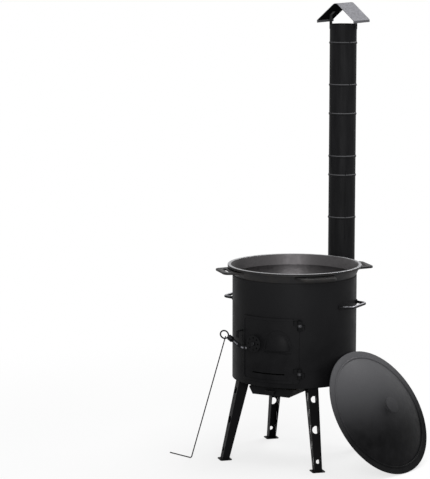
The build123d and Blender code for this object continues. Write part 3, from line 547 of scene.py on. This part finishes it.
def grate_iron():
    """Rough cast iron of the grate under a dusting of ash."""
    # Burnt iron, dull and scaly, with pale ash lying on the faces that look up.
    tones = settings().colours
    material, tree, shader, place = start_finish("burnt_grate_iron", tones.soot, 0.8, LOW_GLOSS)
    colour = vary_colour(tree, shader, place, tones.soot, tones.pot_iron_warm, 12.0)
    noise = add_node(
        tree, "ShaderNodeTexNoise", inputs={"Scale": grains(9.0), "Detail": 6.0}, links={"Vector": place}
    )
    dusted = multiply(tree, noise.outputs["Fac"], facing_up(tree, 0.6, 0.95))
    blend_colour(tree, shader, dusted, colour, tones.ash)
    cast_bumps(tree, shader, place, 6.0, 1.6)
    return material


def pan_sheet():
    """Bent black sheet of the ash pan, dusted with ash where it looks up."""
    # Mill-black sheet with a dull oxide skin and ash in the tray.
    tones = settings().colours
    material, tree, shader, place = start_finish("black_oxide_sheet", tones.black_bar, 0.5, LOW_GLOSS)
    colour = vary_colour(tree, shader, place, tones.black_bar, tones.paint_dust, 30.0)
    noise = add_node(
        tree, "ShaderNodeTexNoise", inputs={"Scale": grains(14.0), "Detail": 7.0}, links={"Vector": place}
    )
    dusted = multiply(tree, noise.outputs["Fac"], facing_up(tree, 0.7, 0.98))
    blend_colour(tree, shader, dusted, colour, tones.ash)
    vary_roughness(tree, shader, place, 0.42, 0.62, 16.0)
    grain_bump(tree, shader, place, 5.0, 0.08)
    return material


def fade_from_nearest(tree, distances, full, none):
    """One where the smallest distance is within the first limit, fading to zero at the second."""
    nearest = distances[0]
    for away in distances[1:]:
        nearest = add_node(
            tree, "ShaderNodeMath", options={"operation": "MINIMUM"}, links={0: nearest, 1: away}
        ).outputs[0]
    fade = add_node(
        tree, "ShaderNodeMapRange", inputs={"From Min": none, "From Max": full}, links={"Value": nearest}
    )
    return fade.outputs["Result"]


def near_height(tree, place, heights, full, none):
    """One within the first distance of any of these heights, fading to zero at the second."""
    level = add_node(tree, "ShaderNodeSeparateXYZ", links={"Vector": place}).outputs["Z"]
    distances = []
    for height in heights:
        gap = add_node(
            tree, "ShaderNodeMath", options={"operation": "SUBTRACT"}, inputs={1: height}, links={0: level}
        )
        away = add_node(
            tree, "ShaderNodeMath", options={"operation": "ABSOLUTE"}, links={0: gap.outputs[0]}
        )
        distances.append(away.outputs[0])
    return fade_from_nearest(tree, distances, full, none)


def near_points(tree, place, points, full, none):
    """One within the first distance of any of these points, fading to zero at the second."""
    distances = []
    for point in points:
        away = add_node(
            tree,
            "ShaderNodeVectorMath",
            options={"operation": "DISTANCE"},
            inputs={1: point},
            links={0: place},
        )
        distances.append(away.outputs["Value"])
    return fade_from_nearest(tree, distances, full, none)


def turned_steel():
    """Turned mild steel of the hinges, its paint rubbed off where the two halves meet, as wear and a
    painted glint.
    """
    # The halves rub each other bright at their joint, a band that is also a painted glint; lathe marks run
    # round the painted barrel.
    tones = settings().colours
    material, tree, shader, place = start_finish("turned_steel_worn", tones.paint, 0.34, LOW_GLOSS)
    painted = vary_colour(tree, shader, place, tones.paint, tones.paint_dust, 7.0)
    joints = [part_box(name + "_hinge_sleeve")[0][2] for name in ("upper", "lower")]
    band = near_height(tree, place, joints, 2.4 * MM, 5.0 * MM)
    axis = on_drum(HINGE_ANGLE, 0, HINGE_AXIS)
    barrel = near_axis(tree, centred_on(tree, place, axis), BARREL_RADIUS)
    # Bare steel band at each joint: wear, also a painted glint.
    worn = multiply(tree, band, barrel)
    blend_colour(tree, shader, worn, painted, tones.hinge_steel)
    tree.links.new(worn, shader.inputs["Metallic"])
    rings = add_node(
        tree,
        "ShaderNodeTexWave",
        options={"bands_direction": "Z"},
        inputs={"Scale": grains(6.0), "Distortion": 0.4},
        links={"Vector": place},
    )
    bump = add_node(
        tree,
        "ShaderNodeBump",
        inputs={"Strength": 0.5, "Distance": 0.03 * MM},
        links={"Height": rings.outputs["Fac"], "Normal": soft_edges(tree, 1.0)},
    )
    tree.links.new(bump.outputs["Normal"], shader.inputs["Normal"])
    return material


def fastener_steel():
    """Zinc plated bolts and rivets, dulled by heat."""
    # Plated steel keeps a metallic gleam under a dark grey bloom.
    tones = settings().colours
    material, tree, shader, place = start_finish("dulled_zinc_plate", tones.bolt, 0.38, BARE_METAL)
    vary_colour(tree, shader, place, tones.coil, tones.bolt, 3.0, low=0.45, high=0.8)
    vary_roughness(tree, shader, place, 0.3, 0.5, 4.0)
    grain_bump(tree, shader, place, 1.2, 0.03)
    return material


def start_scaled_bar(name):
    """Hot-rolled black bar with its mill scale on: gives its tree, shader, coordinates and colour too."""
    # Mill scale is blue-black and slightly shiny.
    tones = settings().colours
    material, tree, shader, place = start_finish(name, tones.black_bar, 0.36, MILL_SCALE)
    scale = vary_colour(tree, shader, place, tones.black_bar, tones.paint_dust, 9.0)
    vary_roughness(tree, shader, place, 0.28, 0.5, 6.0)
    return material, tree, shader, place, scale


def rub_to_steel_glint(tree, shader, worn, scale):
    """Bare metal where the scale is worn off, which also serves as a painted highlight."""
    blend_colour(tree, shader, worn, scale, settings().colours.worn_glint_steel)
    tree.links.new(worn, shader.inputs["Metallic"])


def scaled_bar():
    """Hot-rolled black bar with its mill scale whole."""
    material, tree, shader, place, _ = start_scaled_bar("mill_scale_bar")
    grain_bump(tree, shader, place, 2.0, 0.05)
    return material


def handle_bar():
    """The same black bar bent as a handle, worn on top where it is lifted, the top also painted as a
    highlight.
    """
    # Gloves and hooks rub the scale off the top of the grip, which leaves a line of bright steel that also
    # serves as a painted highlight.
    material, tree, shader, place, scale = start_scaled_bar("mill_scale_handle")
    foot_length = 12 * MM
    foot = near_axis(tree, place, DRUM_RADIUS + foot_length)
    grip = add_node(
        tree, "ShaderNodeMath", options={"operation": "SUBTRACT"}, inputs={0: 1.0}, links={1: foot}
    )
    # Worn steel and painted highlight along the top of the grip.
    rub_to_steel_glint(tree, shader, multiply(tree, grip.outputs[0], facing_up(tree, 0.35, 0.8)), scale)
    grain_bump(tree, shader, place, 2.0, 0.05)
    return material


def lever_bar():
    """The same black bar as flat lever and keeper."""
    # Worn in short streaks of bright steel where it is held below the grip, and on its crank; the streaks
    # are also painted glints.
    material, tree, shader, place, scale = start_scaled_bar("mill_scale_lever")
    worn = [latch_point(reach, rise) for reach, rise in LEVER_WEAR_AND_GLINTS]
    rub_to_steel_glint(tree, shader, near_points(tree, place, worn, full=3 * MM, none=5 * MM), scale)
    grain_bump(tree, shader, place, 2.0, 0.05, under=soft_edges(tree, 1.4))
    return material


def spring_wire():
    """Drawn spring wire wound as a grip that stays cold enough to hold."""
    # Drawing polishes the wire, so each turn carries its own thin highlight.
    tones = settings().colours
    material, tree, shader, place = start_finish("drawn_spring_wire", tones.coil, 0.3, BARE_METAL)
    vary_colour(tree, shader, place, tones.coil, tones.bolt, 5.0)
    vary_roughness(tree, shader, place, 0.24, 0.38, 3.0)
    return material


def weld_metal():
    """Weld metal under black paint."""
    # Each ripple catches the light on its crest; the paint fills the valleys.
    tones = settings().colours
    material, tree, shader, place = start_finish("painted_weld_metal", tones.paint, 0.4, LOW_GLOSS)
    vary_colour(tree, shader, place, tones.paint, tones.paint_dust, 4.0)
    grain_bump(tree, shader, place, 1.4, 0.05)
    return material


def finish(maker):
    """The material that a maker gives, made once."""
    name = maker.__name__
    for material in bpy.data.materials:
        if material.get("maker") == name:
            return material
    material = maker()
    material["maker"] = name
    return material


def dress(maker, *nodes):
    """Give CAD nodes a finish."""
    material = finish(maker)
    for name in nodes:
        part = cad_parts[name]
        if not part.material_slots:
            part.data.materials.append(material)
        for place in part.material_slots:
            place.material = material


# Geometry node trees


def start_tree(name, sizes):
    """New geometry tree with a path, named sizes and a metal as inputs: gives it with its input node."""
    tree = bpy.data.node_groups.new(name, "GeometryNodeTree")
    tree.interface.new_socket(name="Path", in_out="INPUT", socket_type="NodeSocketGeometry")
    for label, value in sizes.items():
        kind = "NodeSocketInt" if isinstance(value, int) else "NodeSocketFloat"
        socket = tree.interface.new_socket(name=label, in_out="INPUT", socket_type=kind)
        socket.default_value = value
    tree.interface.new_socket(name="Metal", in_out="INPUT", socket_type="NodeSocketMaterial")
    tree.interface.new_socket(name="Piece", in_out="OUTPUT", socket_type="NodeSocketGeometry")
    return tree, add_node(tree, "NodeGroupInput").outputs


def end_tree(tree, given, shape):
    """Close a tree with real geometry in the given metal."""
    real = add_node(tree, "GeometryNodeRealizeInstances", links={"Geometry": shape})
    metal = add_node(
        tree, "GeometryNodeSetMaterial", links={"Geometry": real.outputs[0], "Material": given["Metal"]}
    )
    smooth = add_node(tree, "GeometryNodeSetShadeSmooth", links={"Geometry": metal.outputs[0]})
    add_node(tree, "NodeGroupOutput", links={"Piece": smooth.outputs[0]})
    return tree


def weld_bead_tree():
    """Overlapping ripples of weld metal along each path."""
    tree, given = start_tree("weld_bead", {"Radius": 0.002, "Pitch": 0.0015})
    path = add_node(tree, "GeometryNodeMeshToCurve", links={"Mesh": given["Path"]})
    spots = add_node(
        tree,
        "GeometryNodeCurveToPoints",
        options={"mode": "LENGTH"},
        links={"Curve": path.outputs[0], "Length": given["Pitch"]},
    )
    ripple = add_node(
        tree, "GeometryNodeMeshIcoSphere", inputs={"Subdivisions": 2}, links={"Radius": given["Radius"]}
    )
    ripples = add_node(
        tree,
        "GeometryNodeInstanceOnPoints",
        inputs={"Scale": (1.0, 1.0, 0.8)},
        links={
            "Points": spots.outputs["Points"],
            "Instance": ripple.outputs["Mesh"],
            "Rotation": spots.outputs["Rotation"],
        },
    )
    return end_tree(tree, given, ripples.outputs[0])


def lock_seam_tree():
    """Folded seam with a rounded section along each path."""
    tree, given = start_tree("lock_seam", {"Width": 0.006, "Height": 0.0015})
    path = add_node(tree, "GeometryNodeMeshToCurve", links={"Mesh": given["Path"]})
    section = add_node(
        tree,
        "GeometryNodeCurvePrimitiveQuadrilateral",
        links={"Width": given["Width"], "Height": given["Height"]},
    )
    round_corner = add_node(
        tree,
        "ShaderNodeMath",
        options={"operation": "MULTIPLY"},
        inputs={1: 0.4},
        links={0: given["Height"]},
    )
    rounded = add_node(
        tree,
        "GeometryNodeFilletCurve",
        options={"mode": "POLY"},
        inputs={"Count": 3},
        links={"Curve": section.outputs[0], "Radius": round_corner.outputs[0]},
    )
    seam = add_node(
        tree,
        "GeometryNodeCurveToMesh",
        inputs={"Fill Caps": True},
        links={"Curve": path.outputs[0], "Profile Curve": rounded.outputs[0]},
    )
    return end_tree(tree, given, seam.outputs[0])


def spot_weld_tree():
    """Shallow round spot welds at even distances along each path, square to the drum."""
    tree, given = start_tree("spot_weld", {"Radius": 0.002, "Count": 6})
    path = add_node(tree, "GeometryNodeMeshToCurve", links={"Mesh": given["Path"]})
    spots = add_node(
        tree,
        "GeometryNodeCurveToPoints",
        options={"mode": "COUNT"},
        links={"Curve": path.outputs[0], "Count": given["Count"]},
    )
    dome = add_node(
        tree,
        "GeometryNodeMeshUVSphere",
        inputs={"Segments": 20, "Rings": 10},
        links={"Radius": given["Radius"]},
    )
    here = add_node(tree, "GeometryNodeInputPosition").outputs[0]
    level = add_node(
        tree,
        "ShaderNodeVectorMath",
        options={"operation": "MULTIPLY"},
        inputs={1: (1.0, 1.0, 0.0)},
        links={0: here},
    )
    outwards = add_node(
        tree,
        "FunctionNodeAlignRotationToVector",
        options={"axis": "Z"},
        links={"Vector": level.outputs[0]},
    )
    domes = add_node(
        tree,
        "GeometryNodeInstanceOnPoints",
        inputs={"Scale": (1.0, 1.0, 0.35)},
        links={
            "Points": spots.outputs["Points"],
            "Instance": dome.outputs["Mesh"],
            "Rotation": outwards.outputs[0],
        },
    )
    return end_tree(tree, given, domes.outputs[0])


def wound_coil_tree():
    """Close-wound coil of round wire along +Z."""
    sizes = {"Wire radius": 0.0015, "Coil radius": 0.008, "Length": 0.02, "Turns": 7}
    tree, given = start_tree("wound_coil", sizes)
    turns = add_node(
        tree,
        "GeometryNodeCurveSpiral",
        inputs={"Resolution": 28},
        links={
            "Rotations": given["Turns"],
            "Start Radius": given["Coil radius"],
            "End Radius": given["Coil radius"],
            "Height": given["Length"],
        },
    )
    section = add_node(
        tree,
        "GeometryNodeCurvePrimitiveCircle",
        inputs={"Resolution": 10},
        links={"Radius": given["Wire radius"]},
    )
    wire = add_node(
        tree,
        "GeometryNodeCurveToMesh",
        inputs={"Fill Caps": True},
        links={"Curve": turns.outputs[0], "Profile Curve": section.outputs[0]},
    )
    return end_tree(tree, given, wire.outputs[0])


def grow(name, tree, sizes, maker, body, paths=(), place=None):
    """Make one piece with a geometry tree, as a plain mesh that rides on a body."""
    points = [point for path in paths for point in path]
    joins = []
    start = 0
    for path in paths:
        joins += [(start + step, start + step + 1) for step in range(len(path) - 1)]
        start += len(path)
    mesh = bpy.data.meshes.new(name)
    mesh.from_pydata([tuple(point) for point in points], joins, [])
    piece = bpy.data.objects.new(name, mesh)
    bpy.context.scene.collection.objects.link(piece)
    growth = piece.modifiers.new("growth", "NODES")
    growth.node_group = tree
    values = dict(sizes)
    values["Metal"] = finish(maker)
    for item in tree.interface.items_tree:
        if item.in_out == "INPUT" and item.name in values:
            growth[item.identifier] = values[item.name]
    graph = bpy.context.evaluated_depsgraph_get()
    grown = bpy.data.meshes.new_from_object(piece.evaluated_get(graph))
    piece.modifiers.remove(growth)
    piece.data = grown
    if place is not None:
        grown.transform(place)
    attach(piece, body)


def on_drum(angle, height, radius):
    """Point by its angle from the door's middle, its height and its distance from the drum's axis."""
    turn = math.radians(angle)
    return Vector((radius * math.sin(turn), -radius * math.cos(turn), height))


def upright(angle, low, high, radius):
    """Upright path on the drum."""
    return [on_drum(angle, height, radius) for height in (low, high)]


def ring_on_drum(angle, height, radius, ring, steps=28):
    """Closed ring round a point on the drum."""
    ring_points = []
    for step in range(steps + 1):
        turn = 2 * math.pi * step / steps
        side = math.degrees(ring * math.cos(turn) / radius)
        ring_points.append(on_drum(angle + side, height + ring * math.sin(turn), radius))
    return ring_points


def lever_run():
    """Direction of the lever's last stretch, seen from the front."""
    rise = math.radians(LEVER_RISE)
    return Vector((-math.cos(rise), 0, math.sin(rise)))


def latch_point(reach, rise):
    """Point on the lever's face by its place in millimetres from the pivot, seen from the front."""
    facing = Matrix.Rotation(math.radians(LATCH_ANGLE), 3, "Z")
    low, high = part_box("latch_boss")
    return facing @ Vector((reach * MM, -LEVER_FACE, (low[2] + high[2]) / 2 + rise * MM))


def weld_sizes():
    """Sizes of a weld bead for its tree."""
    sizes = settings().sizes
    return {"Radius": sizes.bead_radius, "Pitch": sizes.bead_pitch}


# Operators


class STOVE_OT_drum(bpy.types.Operator):
    """Paint the drum and run its upright weld down the back"""

    bl_idname = "stove.drum"
    bl_label = "Drum"

    def execute(self, context):
        dress(silicone_stove_paint, "firebox_shell", "floor_plate", "flue_stub")
        dress(silicone_stove_paint, "right_pan_runner", "left_pan_runner")
        dress(grate_iron, "fire_grate")
        seam_angle = 152.0
        margin = 3 * MM
        path = upright(seam_angle, DRUM_LOW + margin, DRUM_TOP - margin, DRUM_RADIUS - MM)
        grow("drum_seam_weld", weld_bead_tree(), weld_sizes(), weld_metal, "stove", [path])
        return {"FINISHED"}


class STOVE_OT_door(bpy.types.Operator):
    """Paint the fire door and add the hinge welds and the hood's spot welds"""

    bl_idname = "stove.door"
    bl_label = "Fire door"

    def execute(self, context):
        dress(door_paint, "door_skin", "air_hood")
        dress(turned_steel, "upper_hinge_pin", "lower_hinge_pin")
        dress(turned_steel, "upper_hinge_sleeve", "lower_hinge_sleeve")
        self.spot_weld_hood()
        self.weld_hinges()
        return {"FINISHED"}

    def spot_weld_hood(self):
        """Spot welds along the middle of the hood's arched band."""
        low, high = (Vector(corner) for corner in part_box("air_hood"))
        middle = math.degrees(math.atan2((low.x + high.x) / 2, -(low.y + high.y) / 2))
        band = 3.2 * MM
        half = 51.5 * MM - band
        steps = 36
        first = 8.0
        sweep = 180.0 - 2 * first
        rise = high.z - low.z - band
        radius = DOOR_FACE + 2.2 * MM
        arch = []
        for step in range(steps + 1):
            turn = math.radians(first + sweep * step / steps)
            side = math.degrees(math.asin(half * math.cos(turn) / radius))
            arch.append(on_drum(middle + side, low.z + rise * math.sin(turn), radius))
        sizes = {"Radius": settings().sizes.spot_radius, "Count": 7}
        grow("hood_spot_welds", spot_weld_tree(), sizes, door_paint, "door", [arch])

    def weld_hinges(self):
        """Short upright welds at the hinges' feet, on the door and on the drum."""
        margin = 4 * MM
        wings = []
        feet = []
        for name in ("upper", "lower"):
            low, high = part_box(name + "_hinge_sleeve")
            start = low[2] + margin / 4
            wings.append(upright(WING_WELD_ANGLE, start, high[2] - margin, DOOR_FACE + MM / 4))
            low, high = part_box(name + "_hinge_pin")
            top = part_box(name + "_hinge_sleeve")[0][2]
            end = top - margin / 4
            feet.append(upright(FOOT_WELD_ANGLE, low[2] + margin, end, DRUM_RADIUS + MM / 4))
        grow("hinge_wing_welds", weld_bead_tree(), weld_sizes(), weld_metal, "door", wings)
        grow("hinge_foot_welds", weld_bead_tree(), weld_sizes(), weld_metal, "stove", feet)


class STOVE_OT_latch(bpy.types.Operator):
    """Finish the latch and wind the wire of its grip"""

    bl_idname = "stove.latch"
    bl_label = "Latch"

    def execute(self, context):
        dress(lever_bar, "latch_lever", "latch_keeper")
        dress(door_paint, "latch_rosette", "latch_boss")
        dress(fastener_steel, "latch_pivot_bolt")
        self.wind_grip()
        return {"FINISHED"}

    def wind_grip(self):
        """Close coil in the place of the ribbed grip."""
        sizes = settings().sizes
        corners = [Vector(corner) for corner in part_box("latch_grip")]
        centre = (corners[0] + corners[1]) / 2
        facing = Matrix.Rotation(math.radians(LATCH_ANGLE), 3, "Z")
        along = facing @ lever_run()
        length = GRIP_LENGTH - 2 * sizes.wire_radius
        turned = along.to_track_quat("Z", "Y").to_matrix().to_4x4()
        place = Matrix.Translation(centre - along * length / 2) @ turned
        values = {
            "Wire radius": sizes.wire_radius,
            "Coil radius": GRIP_RADIUS - sizes.wire_radius,
            "Length": length,
            "Turns": sizes.coil_turns,
        }
        tree = wound_coil_tree()
        grow("wound_grip", tree, values, spring_wire, "latch", place=place)
        core = self.grip_core(centre, turned, length)
        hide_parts("latch_grip")

    def grip_core(self, centre, turned, length):
        """Plain waisted sleeve that the wire is wound on."""
        profile = [(0.0, -0.5), (0.62, -0.5), (0.8, -0.46), (0.8, 0.46), (0.62, 0.5), (0.0, 0.5)]
        outline = [(share * GRIP_RADIUS, height * length) for share, height in profile]
        core = lathe("grip_core", outline, 32)
        core.data.transform(Matrix.Translation(centre) @ turned)
        core.data.materials.append(finish(scaled_bar))
        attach(core, "latch")
        return core


def lathe(name, profile, steps):
    """Closed turned piece about +Z from a profile of radius and height that starts and ends on the axis."""
    points = []
    faces = []
    inner = profile[1:-1]
    for radius, height in inner:
        for step in range(steps):
            turn = 2 * math.pi * step / steps
            points.append((radius * math.cos(turn), radius * math.sin(turn), height))
    for row in range(len(inner) - 1):
        for step in range(steps):
            after = (step + 1) % steps
            below = row * steps
            above = below + steps
            faces.append((below + step, below + after, above + after, above + step))
    last = (len(inner) - 1) * steps
    faces.append(tuple(reversed(range(steps))))
    faces.append(tuple(range(last, last + steps)))
    mesh = bpy.data.meshes.new(name)
    mesh.from_pydata(points, [], faces)
    mesh.shade_smooth()
    piece = bpy.data.objects.new(name, mesh)
    bpy.context.scene.collection.objects.link(piece)
    return piece


class STOVE_OT_handles(bpy.types.Operator):
    """Finish the side handles and weld their feet to the drum"""

    bl_idname = "stove.handles"
    bl_label = "Side handles"

    def execute(self, context):
        dress(handle_bar, "right_handle", "left_handle")
        low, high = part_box("right_handle")
        height = (low[2] + high[2]) / 2
        foot = 67.5 * MM
        spread = math.degrees(math.asin(foot / DRUM_RADIUS))
        ring = 6.6 * MM
        angles = [side + way * spread for side in (90, -90) for way in (-1, 1)]
        rings = [ring_on_drum(angle, height, DRUM_RADIUS + 2 * MM, ring) for angle in angles]
        grow("handle_welds", weld_bead_tree(), weld_sizes(), weld_metal, "stove", rings)
        return {"FINISHED"}


class STOVE_OT_legs(bpy.types.Operator):
    """Coat the legs and weld them to their foot plates"""

    bl_idname = "stove.legs"
    bl_label = "Legs"

    def execute(self, context):
        dress(textured_powder_coat, "leg_front_right", "leg_back_right", "leg_back_left", "leg_front_left")
        dress(fastener_steel, "leg_bolts")
        half = 13.5 * MM
        web = 268 * MM
        depth = 25 * MM
        height = FOOT_WALL + MM / 4
        paths = []
        for angle in LEG_ANGLES:
            turn = Matrix.Rotation(math.radians(angle), 4, "Z")
            corners = [(-half, -web + depth), (-half, -web), (half, -web), (half, -web + depth)]
            paths.append([turn @ Vector((x, y, height)) for x, y in corners])
        sizes = {"Radius": 1.6 * MM, "Pitch": settings().sizes.bead_pitch}
        grow("foot_welds", weld_bead_tree(), sizes, weld_metal, "stove", paths)
        return {"FINISHED"}


class STOVE_OT_ash_pan(bpy.types.Operator):
    """Finish the ash pan and its pull"""

    bl_idname = "stove.ash_pan"
    bl_label = "Ash pan"

    def execute(self, context):
        dress(pan_sheet, "ash_pan", "ash_pan_pull")
        return {"FINISHED"}


class STOVE_OT_flue(bpy.types.Operator):
    """Enamel the flue and fold its lock seams"""

    bl_idname = "stove.flue"
    bl_label = "Flue"

    def execute(self, context):
        dress(flue_enamel, "lower_pipe", "middle_pipe", "upper_pipe", "flue_elbow")
        dress(flue_enamel, "right_cap_strap", "left_cap_strap")
        dress(cap_enamel_top_light, "rain_cap")
        dress(fastener_steel, "cap_rivets")
        sizes = settings().sizes
        seam_angles = {"lower_pipe": 38.0, "middle_pipe": -28.0, "upper_pipe": 52.0}
        gap = 5 * MM
        spigot = 45 * MM
        paths = []
        for name, angle in seam_angles.items():
            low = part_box(name)[0][2] + spigot + gap
            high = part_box(name)[1][2] - gap
            path = upright(angle, low, high, PIPE_RADIUS)
            paths.append([PIPE_AXIS + point for point in path])
        values = {"Width": sizes.seam_width, "Height": sizes.seam_height}
        grow("pipe_lock_seams", lock_seam_tree(), values, flue_enamel, "chimney", paths)
        return {"FINISHED"}


class STOVE_OT_cauldron(bpy.types.Operator):
    """Finish the cauldron"""

    bl_idname = "stove.cauldron"
    bl_label = "Cauldron"

    def execute(self, context):
        dress(oiled_cast_iron, "cauldron")
        return {"FINISHED"}


class STOVE_OT_lid(bpy.types.Operator):
    """Finish the lid, its knob and its screw"""

    bl_idname = "stove.lid"
    bl_label = "Lid"

    def execute(self, context):
        dress(lid_cast_iron, "lid", "lid_knob")
        dress(fastener_steel, "knob_screw")
        return {"FINISHED"}


class STOVE_OT_poker(bpy.types.Operator):
    """Finish the poker"""

    bl_idname = "stove.poker"
    bl_label = "Poker"

    def execute(self, context):
        dress(scaled_bar, "poker")
        return {"FINISHED"}


def white_to_eye(tree):
    """One for camera, glossy and transmission rays, zero for the rays that light the stove."""
    rays = add_node(tree, "ShaderNodeLightPath")
    seen = add_node(
        tree,
        "ShaderNodeMath",
        options={"operation": "MAXIMUM"},
        links={0: rays.outputs["Is Camera Ray"], 1: rays.outputs["Is Glossy Ray"]},
    )
    shown = add_node(
        tree,
        "ShaderNodeMath",
        options={"operation": "MAXIMUM"},
        links={0: seen.outputs[0], 1: rays.outputs["Is Transmission Ray"]},
    )
    return shown.outputs[0]


def ground_material():
    """Matt pale studio floor that the camera sees as white, with the object's shadow left on it."""
    # Painted studio floor: no gloss at all.
    tones = settings().colours
    material = bpy.data.materials.new("studio_floor")
    material.use_nodes = True
    tree = material.node_tree
    tree.nodes.clear()
    matt = add_node(tree, "ShaderNodeBsdfDiffuse", inputs={"Color": opaque(tones.ground)})
    white = add_node(tree, "ShaderNodeEmission", inputs={"Color": (1.0, 1.0, 1.0, 1.0), "Strength": 1.0})
    place = add_node(tree, "ShaderNodeTexCoord").outputs["Object"]
    reach = add_node(
        tree, "ShaderNodeVectorMath", options={"operation": "LENGTH"}, links={0: place}
    )
    far = add_node(
        tree,
        "ShaderNodeMapRange",
        options={"interpolation_type": "SMOOTHSTEP"},
        inputs={"From Min": 0.5, "From Max": 2.2, "To Min": 0.72, "To Max": 1.0},
        links={"Value": reach.outputs["Value"]},
    )
    share = add_node(
        tree,
        "ShaderNodeMath",
        options={"operation": "MULTIPLY"},
        links={0: white_to_eye(tree), 1: far.outputs["Result"]},
    )
    mix = add_node(
        tree, "ShaderNodeMixShader", links={0: share.outputs[0], 1: matt.outputs[0], 2: white.outputs[0]}
    )
    add_node(tree, "ShaderNodeOutputMaterial", links={"Surface": mix.outputs[0]})
    return material


def white_world():
    """World that is white to the camera and in reflections, and a soft fill light otherwise."""
    world = bpy.data.worlds.new("studio")
    world.use_nodes = True
    tree = world.node_tree
    tree.nodes.clear()
    strength = add_node(
        tree,
        "ShaderNodeMapRange",
        inputs={"To Min": 0.45, "To Max": 1.0},
        links={"Value": white_to_eye(tree)},
    )
    back = add_node(
        tree,
        "ShaderNodeBackground",
        inputs={"Color": (1.0, 1.0, 1.0, 1.0)},
        links={"Strength": strength.outputs["Result"]},
    )
    add_node(tree, "ShaderNodeOutputWorld", links={"Surface": back.outputs[0]})
    return world


class STOVE_OT_stage(bpy.types.Operator):
    """Lay the floor, hang the lamps and set the camera"""

    bl_idname = "stove.stage"
    bl_label = "Studio"

    def execute(self, context):
        context.scene.view_settings.view_transform = "Standard"
        context.scene.world = white_world()
        self.lay_floor()
        target = Vector((0, 0, 0.7))
        self.hang_lamp("front_box", (1.5, -2.8, 1.45), Vector((0, 0, 1.45)), (1.9, 2.4), 92)
        self.hang_lamp("top_box", (0.9, 0.0, 3.5), target, (1.4, 1.4), 32)
        self.hang_lamp("back_box", (0.5, 2.4, 3.1), target, (2.2, 1.0), 75)
        self.set_camera(context)
        return {"FINISHED"}

    def lay_floor(self):
        """Large plain floor at the feet."""
        half = 20.0
        mesh = bpy.data.meshes.new("floor")
        corners = [(-half, -half, 0), (half, -half, 0), (half, half, 0), (-half, half, 0)]
        mesh.from_pydata(corners, [], [(0, 1, 2, 3)])
        mesh.materials.append(ground_material())
        floor = bpy.data.objects.new("floor", mesh)
        bpy.context.scene.collection.objects.link(floor)

    def hang_lamp(self, name, place, target, size, power):
        """Soft box of a width and height that faces the stove."""
        data = bpy.data.lights.new(name, "AREA")
        data.shape = "RECTANGLE"
        data.size, data.size_y = size
        data.energy = power
        lamp = bpy.data.objects.new(name, data)
        lamp.location = place
        lamp.rotation_euler = (target - Vector(place)).to_track_quat("-Z", "Y").to_euler()
        bpy.context.scene.collection.objects.link(lamp)

    def set_camera(self, context):
        """Camera at about eye height, to the right of the door."""
        view = settings().stage
        data = bpy.data.cameras.new("camera")
        data.lens = view.lens
        data.sensor_width = 36.0
        data.clip_end = 100.0
        camera = bpy.data.objects.new("camera", data)
        towards = Vector((-math.sin(view.azimuth), math.cos(view.azimuth), 0))
        right = Vector((math.cos(view.azimuth), math.sin(view.azimuth), 0))
        camera.location = -towards * view.distance + Vector((0, 0, view.height))
        level = towards * math.cos(view.yaw) - right * math.sin(view.yaw)
        look = level * math.cos(view.pitch) - Vector((0, 0, math.sin(view.pitch)))
        camera.rotation_euler = look.to_track_quat("-Z", "Y").to_euler()
        context.scene.collection.objects.link(camera)
        context.scene.camera = camera


class STOVE_PT_panel(bpy.types.Panel):
    """Pieces and settings of the stove"""

    bl_idname = "STOVE_PT_panel"
    bl_label = "Cauldron stove"
    bl_space_type = "VIEW_3D"
    bl_region_type = "UI"
    bl_category = "Stove"

    def draw(self, context):
        for step in STEPS:
            self.layout.operator(step.bl_idname)
        for group in (settings().colours, settings().sizes, settings().stage):
            column = self.layout.column(align=True)
            for name in group.__annotations__:
                column.prop(group, name)


STEPS = (
    STOVE_OT_stage,
    STOVE_OT_drum,
    STOVE_OT_door,
    STOVE_OT_latch,
    STOVE_OT_handles,
    STOVE_OT_legs,
    STOVE_OT_ash_pan,
    STOVE_OT_flue,
    STOVE_OT_cauldron,
    STOVE_OT_lid,
    STOVE_OT_poker,
)
CLASSES = (StoveColours, StoveSizes, StoveStage, StoveSettings, *STEPS, STOVE_PT_panel)


def register():
    """Register the classes and the scene's settings."""
    for each in CLASSES:
        bpy.utils.register_class(each)
    bpy.types.Scene.cauldron_stove = bpy.props.PointerProperty(type=StoveSettings)


def unregister():
    """Take the settings and the classes away again."""
    del bpy.types.Scene.cauldron_stove
    for each in reversed(CLASSES):
        bpy.utils.unregister_class(each)


def main():
    """Dress the whole stove."""
    register()
    for step in STEPS:
        group, name = step.bl_idname.split(".")
        getattr(getattr(bpy.ops, group), name)()


if __name__ == "__main__":
    main()
